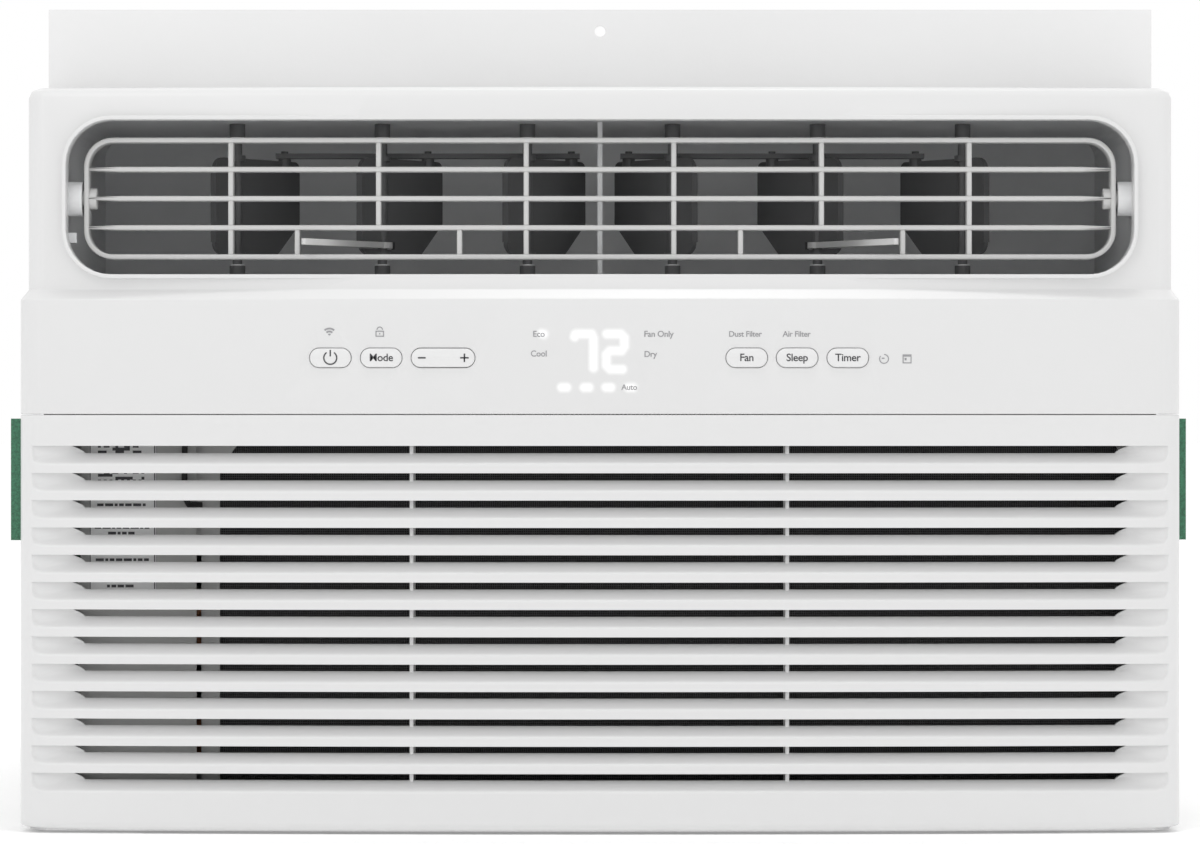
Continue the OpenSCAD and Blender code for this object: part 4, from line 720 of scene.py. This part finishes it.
# a print is drawn flat, then stood up against a face; without y it follows the bow
def standPrint(piece, x, z, y, finish, name):
    piece.rotation_euler = (math.radians(90), 0, 0)
    piece.location = (x, (frontY if y is None else y) - panelLook["lift"], z)
    settle(piece)
    if y is None:
        for v in piece.data.vertices:
            v.co.y += bowAt(v.co.x)
    return dress(named(piece, name), finish)

def thicken(piece):
    solid = piece.modifiers.new("film", "SOLIDIFY")
    solid.thickness = panelLook["height"]
    solid.offset = 1
    applyModifiers(piece)
    return piece

def word(body, height, x, z, y, finish, weight=0.00003):
    deselectAll()
    bpy.ops.object.text_add()
    piece = bpy.context.object
    piece.data.body = body
    piece.data.size = height
    piece.data.align_x = "CENTER"
    piece.data.offset = weight
    piece.data.align_y = "CENTER"
    piece.data.space_character = 0.96
    piece.data.resolution_u = 4
    bpy.ops.object.convert(target="MESH")
    return standPrint(thicken(bpy.context.object), x, z, y, finish, "print" + body.replace(" ", ""))

def arcStrip(radius, width, start, end, x, z, y, finish, name, steps=28):
    bpy.ops.mesh.primitive_grid_add(x_subdivisions=steps, y_subdivisions=1, size=1)
    strip = bpy.context.object
    for v in strip.data.vertices:
        turn = math.radians(end + (start - end) * (v.co.x + 0.5))
        r = radius + width * v.co.y
        v.co = (r * math.cos(turn), r * math.sin(turn), 0)
    return standPrint(thicken(strip), x, z, y, finish, name)

def flatBar(x0, x1, z0, z1, y, finish, name):
    bpy.ops.mesh.primitive_plane_add(size=1)
    bar = bpy.context.object
    bar.scale = (x1 - x0, z1 - z0, 1)
    settle(bar)
    return standPrint(thicken(bar), (x0 + x1) / 2, (z0 + z1) / 2, y, finish, name)

captions = (  # text, middle x and z, letter height
    ("Eco", -0.0246, 0.2013, 0.0034), ("Cool", -0.0246, 0.1934, 0.0034),
    ("Fan Only", 0.0236, 0.2013, 0.0034), ("Dry", 0.0203, 0.1932, 0.0034), ("Auto", 0.0118, 0.1799, 0.0032),
    ("Dust Filter", 0.0584, 0.2013, 0.0032), ("Air Filter", 0.0791, 0.2013, 0.0032),
)
signs = {  # middle x and z
    "signal": (-0.1089, 0.2006), "lock": (-0.0886, 0.2022),
    "clock": (0.1143, 0.1914), "day": (0.1236, 0.1914),
}
signLine = 0.0004

def greyArc(sign, radius, start, end, width=signLine, rise=0):
    x, z = signs[sign]
    return arcStrip(radius, width, start, end, x, z + rise, None, greyPrint, sign + "Arc")

def greyBar(sign, left, right, low, high):
    x, z = signs[sign]
    return flatBar(x + left, x + right, z + low, z + high, None, greyPrint, sign + "Bar")

prints = [word(body, height, x, z, None, greyPrint) for body, x, z, height in captions]
prints += [greyArc("signal", radius, 50, 130, width=0.0007) for radius in (0.0006, 0.0018, 0.0030)]
prints += [greyBar("lock", -0.0016, 0.0016, low, low + signLine) for low in (-0.0019, 0.0001)]
prints += [greyBar("lock", x - signLine / 2, x + signLine / 2, -0.0019, 0.0005) for x in (-0.0015, 0.0015)]
prints += [greyArc("lock", 0.0011, 0, 180, rise=0.0009), greyBar("lock", -0.0002, 0.0002, -0.0010, -0.0004)]
prints += [greyArc("clock", 0.0018, 140, 450), greyBar("clock", -0.0009, 0.0002, 0, 0.0005)]
prints += [greyBar("day", -0.0018, 0.0018, 0.0009, 0.0018), greyBar("day", -0.0018, -0.0014, -0.0018, 0.0009)]
prints += [greyBar("day", 0.0014, 0.0018, -0.0018, 0.0009), greyBar("day", -0.0014, 0.0014, -0.0018, -0.0014)]
prints.append(greyBar("day", -0.0010, -0.0002, -0.0006, 0.0004))
rideLike(joinAll(prints, "panelPrint"), "front_fascia")
print("panel print ready")

# keys with soft edges and their own print, each with a pale edge showing round it

keyLook = {
    "edge": 0.0003, "segments": 3, "middle": 0.1918, "skirt": 0.00022, "skirtBack": 0.0003,
    "word": 0.0043, "weight": 0.00004, "ring": 0.0026, "ringLine": 0.00055, "signLine": 0.0006,
}
keyWords = {
    "power_button": None, "mode_button": "Mode", "temp_rocker": None,
    "fan_button": "Fan", "sleep_button": "Sleep", "timer_button": "Timer",
}

def keySkirt(cap, name, low, high):
    skirt = copyOf(cap, name)
    x, z = (low.x + high.x) / 2, keyLook["middle"]
    wider = 1 + 2 * keyLook["skirt"] / (high.x - low.x)
    taller = 1 + keyLook["skirt"] / (high.z - z)
    for v in skirt.data.vertices:
        v.co = (x + (v.co.x - x) * wider, v.co.y + keyLook["skirtBack"], z + (v.co.z - z) * taller)
    return skirt

def keyMarks(node, body, x, y):
    z = keyLook["middle"]
    half = keyLook["signLine"] / 2
    if body:
        return [word(body, keyLook["word"], x, z, y, darkPrint, keyLook["weight"])]
    if node == "power_button":
        return [arcStrip(keyLook["ring"], keyLook["ringLine"], 125, 415, x, z, y, darkPrint, "powerRing", 40),
                flatBar(x - 0.00028, x + 0.00028, z + 0.0006, z + 0.0032, y, darkPrint, "powerBar")]
    return [flatBar(x - 0.0101, x - 0.0070, z - half, z + half, y, darkPrint, "minus"),
            flatBar(x + 0.0069, x + 0.0103, z - half, z + half, y, darkPrint, "plusBar"),
            flatBar(x + 0.0083, x + 0.0089, z - 0.0017, z + 0.0017, y, darkPrint, "plusPost")]

for node, body in keyWords.items():
    low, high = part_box(node)
    keyName = node.replace("_", "")
    cap = roundEdges(meshCopy(node, keyName + "Cap"), keyLook["edge"], keyLook["segments"], 50)
    standFor(dress(cap, finishes["button_plastic"]), node)
    rideLike(dress(keySkirt(cap, keyName + "Skirt", low, high), finishes["button_plastic"]), node)
    front = min(v.co.y for v in cap.data.vertices)
    rideLike(joinAll(keyMarks(node, body, (low.x + high.x) / 2, front), keyName + "Print"), node)
print("keys ready")

# printed card on the plate beside the filters

card = {
    "left": -0.2076, "right": -0.1806, "low": 0.096, "high": 0.160,
    "thick": 0.00015, "back": 0.019, "edge": 0.0004, "inset": 0.0002,
}
pattern = {"cell": 0.00118, "columns": 16, "low": 0.1414, "rows": 13, "left": -0.2040}
lines = {  # height and half length of each row of bars
    "rows": ((0.1318, 0.0102), (0.1226, 0.0112), (0.1203, 0.0058), (0.1095, 0.0108), (0.0988, 0.0062)),
    "middle": -0.1941, "high": 0.0011, "shortest": 0.0012, "step": 0.0007, "gap": 0.0006,
}
inkY = frontY + card["back"] - card["thick"]

def cardMark(x0, x1, z0, z1):
    return flatBar(x0, x1, z0, z1, inkY, darkPrint, "cardMark")

def cardPattern():
    marks = []
    end = pattern["left"] + pattern["columns"] * pattern["cell"]
    for row in range(pattern["rows"]):
        column = 0
        while column < pattern["columns"]:
            run = 1 + (row * 5 + column * 3 + row * column) % 3
            if (row * 7 + column * 11 + (row * column) % 5) % 2 == 0:
                x = pattern["left"] + column * pattern["cell"]
                z = pattern["low"] + row * pattern["cell"]
                marks.append(cardMark(x, min(x + run * pattern["cell"], end), z, z + pattern["cell"]))
            column += run
    return marks

def cardLines():
    marks = []
    for z, reach in lines["rows"]:
        x = -reach
        k = 0
        while x < reach - 0.001:
            wide = lines["shortest"] + lines["step"] * ((k * 5 + int(z * 10000)) % 4)
            end = min(x + wide, reach)
            marks.append(cardMark(x + lines["middle"], end + lines["middle"], z, z + lines["high"]))
            x += wide + lines["gap"]
            k += 1
    return marks

cardSize = (card["right"] - card["left"], card["thick"], card["high"] - card["low"])
cardMiddle = ((card["left"] + card["right"]) / 2, inkY + card["thick"] / 2, (card["low"] + card["high"]) / 2)
paper = named(block(cardMiddle, cardSize), "printedCard")
rideLike(dress(paper, newFinish("cardPaper", (0.80, 0.80, 0.80), 0.45)[0]), "label_plate")
edges = [cardMark(x, x + card["edge"], card["low"], card["high"])
         for x in (card["left"] + card["inset"], card["right"] - card["edge"] - card["inset"])]
rideLike(joinAll(edges + cardPattern() + cardLines(), "cardPrint"), "label_plate")
print("card ready")

# steel case with pressed hoods over its vents

caseLook = {
    "hoodDeep": 0.0026, "hoodHigh": 0.0060, "hoodOver": 0.0012,
    "hoodSheet": 0.0006, "hoodLift": 0.0002,
}
sideVents = {
    "in": 0.190, "length": 0.040, "columns": 3, "columnPitch": 0.052,
    "low": 0.064, "rowPitch": 0.016, "rows": 11,
}
caseLow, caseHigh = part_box("cabinet_shell")
nodes["top_rail"].material_slots[0].material = powderCoat("railPaint", (0.79, 0.79, 0.79))

# half of a flattened ball lying against the XY plane, bulging to +Z, open to -Y
def ventHood(length):
    bpy.ops.mesh.primitive_uv_sphere_add(segments=24, ring_count=10, radius=1)
    hood = bpy.context.object
    hood.scale = (length / 2 + caseLook["hoodOver"], caseLook["hoodHigh"], caseLook["hoodDeep"])
    settle(hood)
    bpy.ops.object.mode_set(mode="EDIT")
    for plane in ((0, 0, -1), (0, -1, 0)):
        bpy.ops.mesh.select_all(action="SELECT")
        bpy.ops.mesh.bisect(plane_co=(0, 0, 0), plane_no=plane, clear_outer=True, use_fill=False)
    bpy.ops.object.mode_set(mode="OBJECT")
    shell = hood.modifiers.new("sheet", "SOLIDIFY")
    shell.thickness = caseLook["hoodSheet"]
    shell.offset = -1
    applyModifiers(hood)
    bpy.ops.object.shade_smooth_by_angle(angle=math.radians(40))
    return hood

def hoodCopy(pattern, turn, spot):
    copy = copyOf(pattern, "ventHood")
    copy.rotation_euler = turn
    copy.location = spot
    return settle(copy)

hoodPattern = ventHood(sideVents["length"])
hoods = []
for side in (-1, 1):
    x = caseHigh.x if side > 0 else caseLow.x
    for column in range(sideVents["columns"]):
        y = frontY + sideVents["in"] + column * sideVents["columnPitch"] + sideVents["length"] / 2
        for row in range(sideVents["rows"]):
            z = sideVents["low"] + row * sideVents["rowPitch"] + caseLook["hoodLift"]
            hoods.append(hoodCopy(hoodPattern, (math.radians(90), 0, math.radians(90 * side)), (x, y, z)))
deselectAll()
hoodPattern.select_set(True)
bpy.ops.object.delete()
rideLike(dress(joinAll(hoods, "ventHoods"), finishes["case_paint"]), "cabinet_shell")
print("case ready")

# coils as real stacks of thin fins

finLook = {"thick": 0.00022, "pitch": 0.0017}

def finStack(node, name):
    low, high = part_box(node)
    room = high.x - low.x - finLook["thick"]
    count = int(room / finLook["pitch"])
    first = low.x + (room - count * finLook["pitch"]) / 2 + finLook["thick"] / 2
    spot = (first, (low.y + high.y) / 2, (low.z + high.z) / 2)
    stack = named(block(spot, (finLook["thick"], high.y - low.y, high.z - low.z)), name)
    row = stack.modifiers.new("row", "ARRAY")
    row.use_relative_offset = False
    row.use_constant_offset = True
    row.constant_offset_displace = (finLook["pitch"], 0, 0)
    row.count = count + 1
    applyModifiers(stack)
    return standFor(dress(stack, finishes["fin_aluminium"]), node)

finStack("condenser_fins", "condenserStack")
finStack("evaporator_fins", "evaporatorStack")
print("coils ready")

# stage, light and camera

stageLook = {"size": 60, "colour": (0.88, 0.88, 0.88), "shine": 0.15, "sky": 1.0}
bpy.ops.mesh.primitive_plane_add(size=stageLook["size"], location=(0, 0, 0))
floor = bpy.context.object
floor.name = "studioFloor"
settle(floor)
floorFinish, floorTree, floorShader = newFinish("studioPaper", stageLook["colour"], 0.9, 0, 0.1)
floorShader.inputs["Emission Color"].default_value = (1, 1, 1, 1)
floorShader.inputs["Emission Strength"].default_value = stageLook["shine"]
dress(floor, floorFinish)

world = bpy.data.worlds.new("studioSky")
bpy.context.scene.world = world
world.use_nodes = True
world.node_tree.nodes["Background"].inputs["Color"].default_value = (1, 1, 1, 1)
world.node_tree.nodes["Background"].inputs["Strength"].default_value = stageLook["sky"]
bpy.context.scene.view_settings.view_transform = "Standard"

lampAim = Vector((0, 0, 0.15))
lamps = {  # place, size and power
    "keyLamp": ((-0.8, -2.3, 1.9), 0.6, 5),
    "topLamp": ((0.1, -0.42, 2.2), 0.5, 8),
    "rearLamp": ((1.6, 2.2, 2.0), 1.0, 6),
}

def addLamp(name, spot, size, power):
    light = bpy.data.lights.new(name, "AREA")
    light.shape = "SQUARE"
    light.size = size
    light.energy = power
    lamp = bpy.data.objects.new(name, light)
    bpy.context.collection.objects.link(lamp)
    lamp.location = spot
    lamp.rotation_euler = (lampAim - Vector(spot)).to_track_quat("-Z", "Y").to_euler()

for name, (spot, size, power) in lamps.items():
    addLamp(name, spot, size, power)

shot = {"aim": (0, frontY, 0.166), "distance": 1.75, "elevation": 0.0, "frameWidth": 0.4824}
camera = bpy.data.objects.new("camera", bpy.data.cameras.new("camera"))
bpy.context.collection.objects.link(camera)
tilt = math.radians(shot["elevation"])
aim = Vector(shot["aim"])
away = Vector((0, -math.cos(tilt), math.sin(tilt)))
camera.location = aim + away * shot["distance"]
camera.rotation_euler = (-away).to_track_quat("-Z", "Y").to_euler()
camera.data.lens = camera.data.sensor_width * shot["distance"] / shot["frameWidth"]
camera.data.clip_end = 100
bpy.context.scene.camera = camera
print("stage ready")
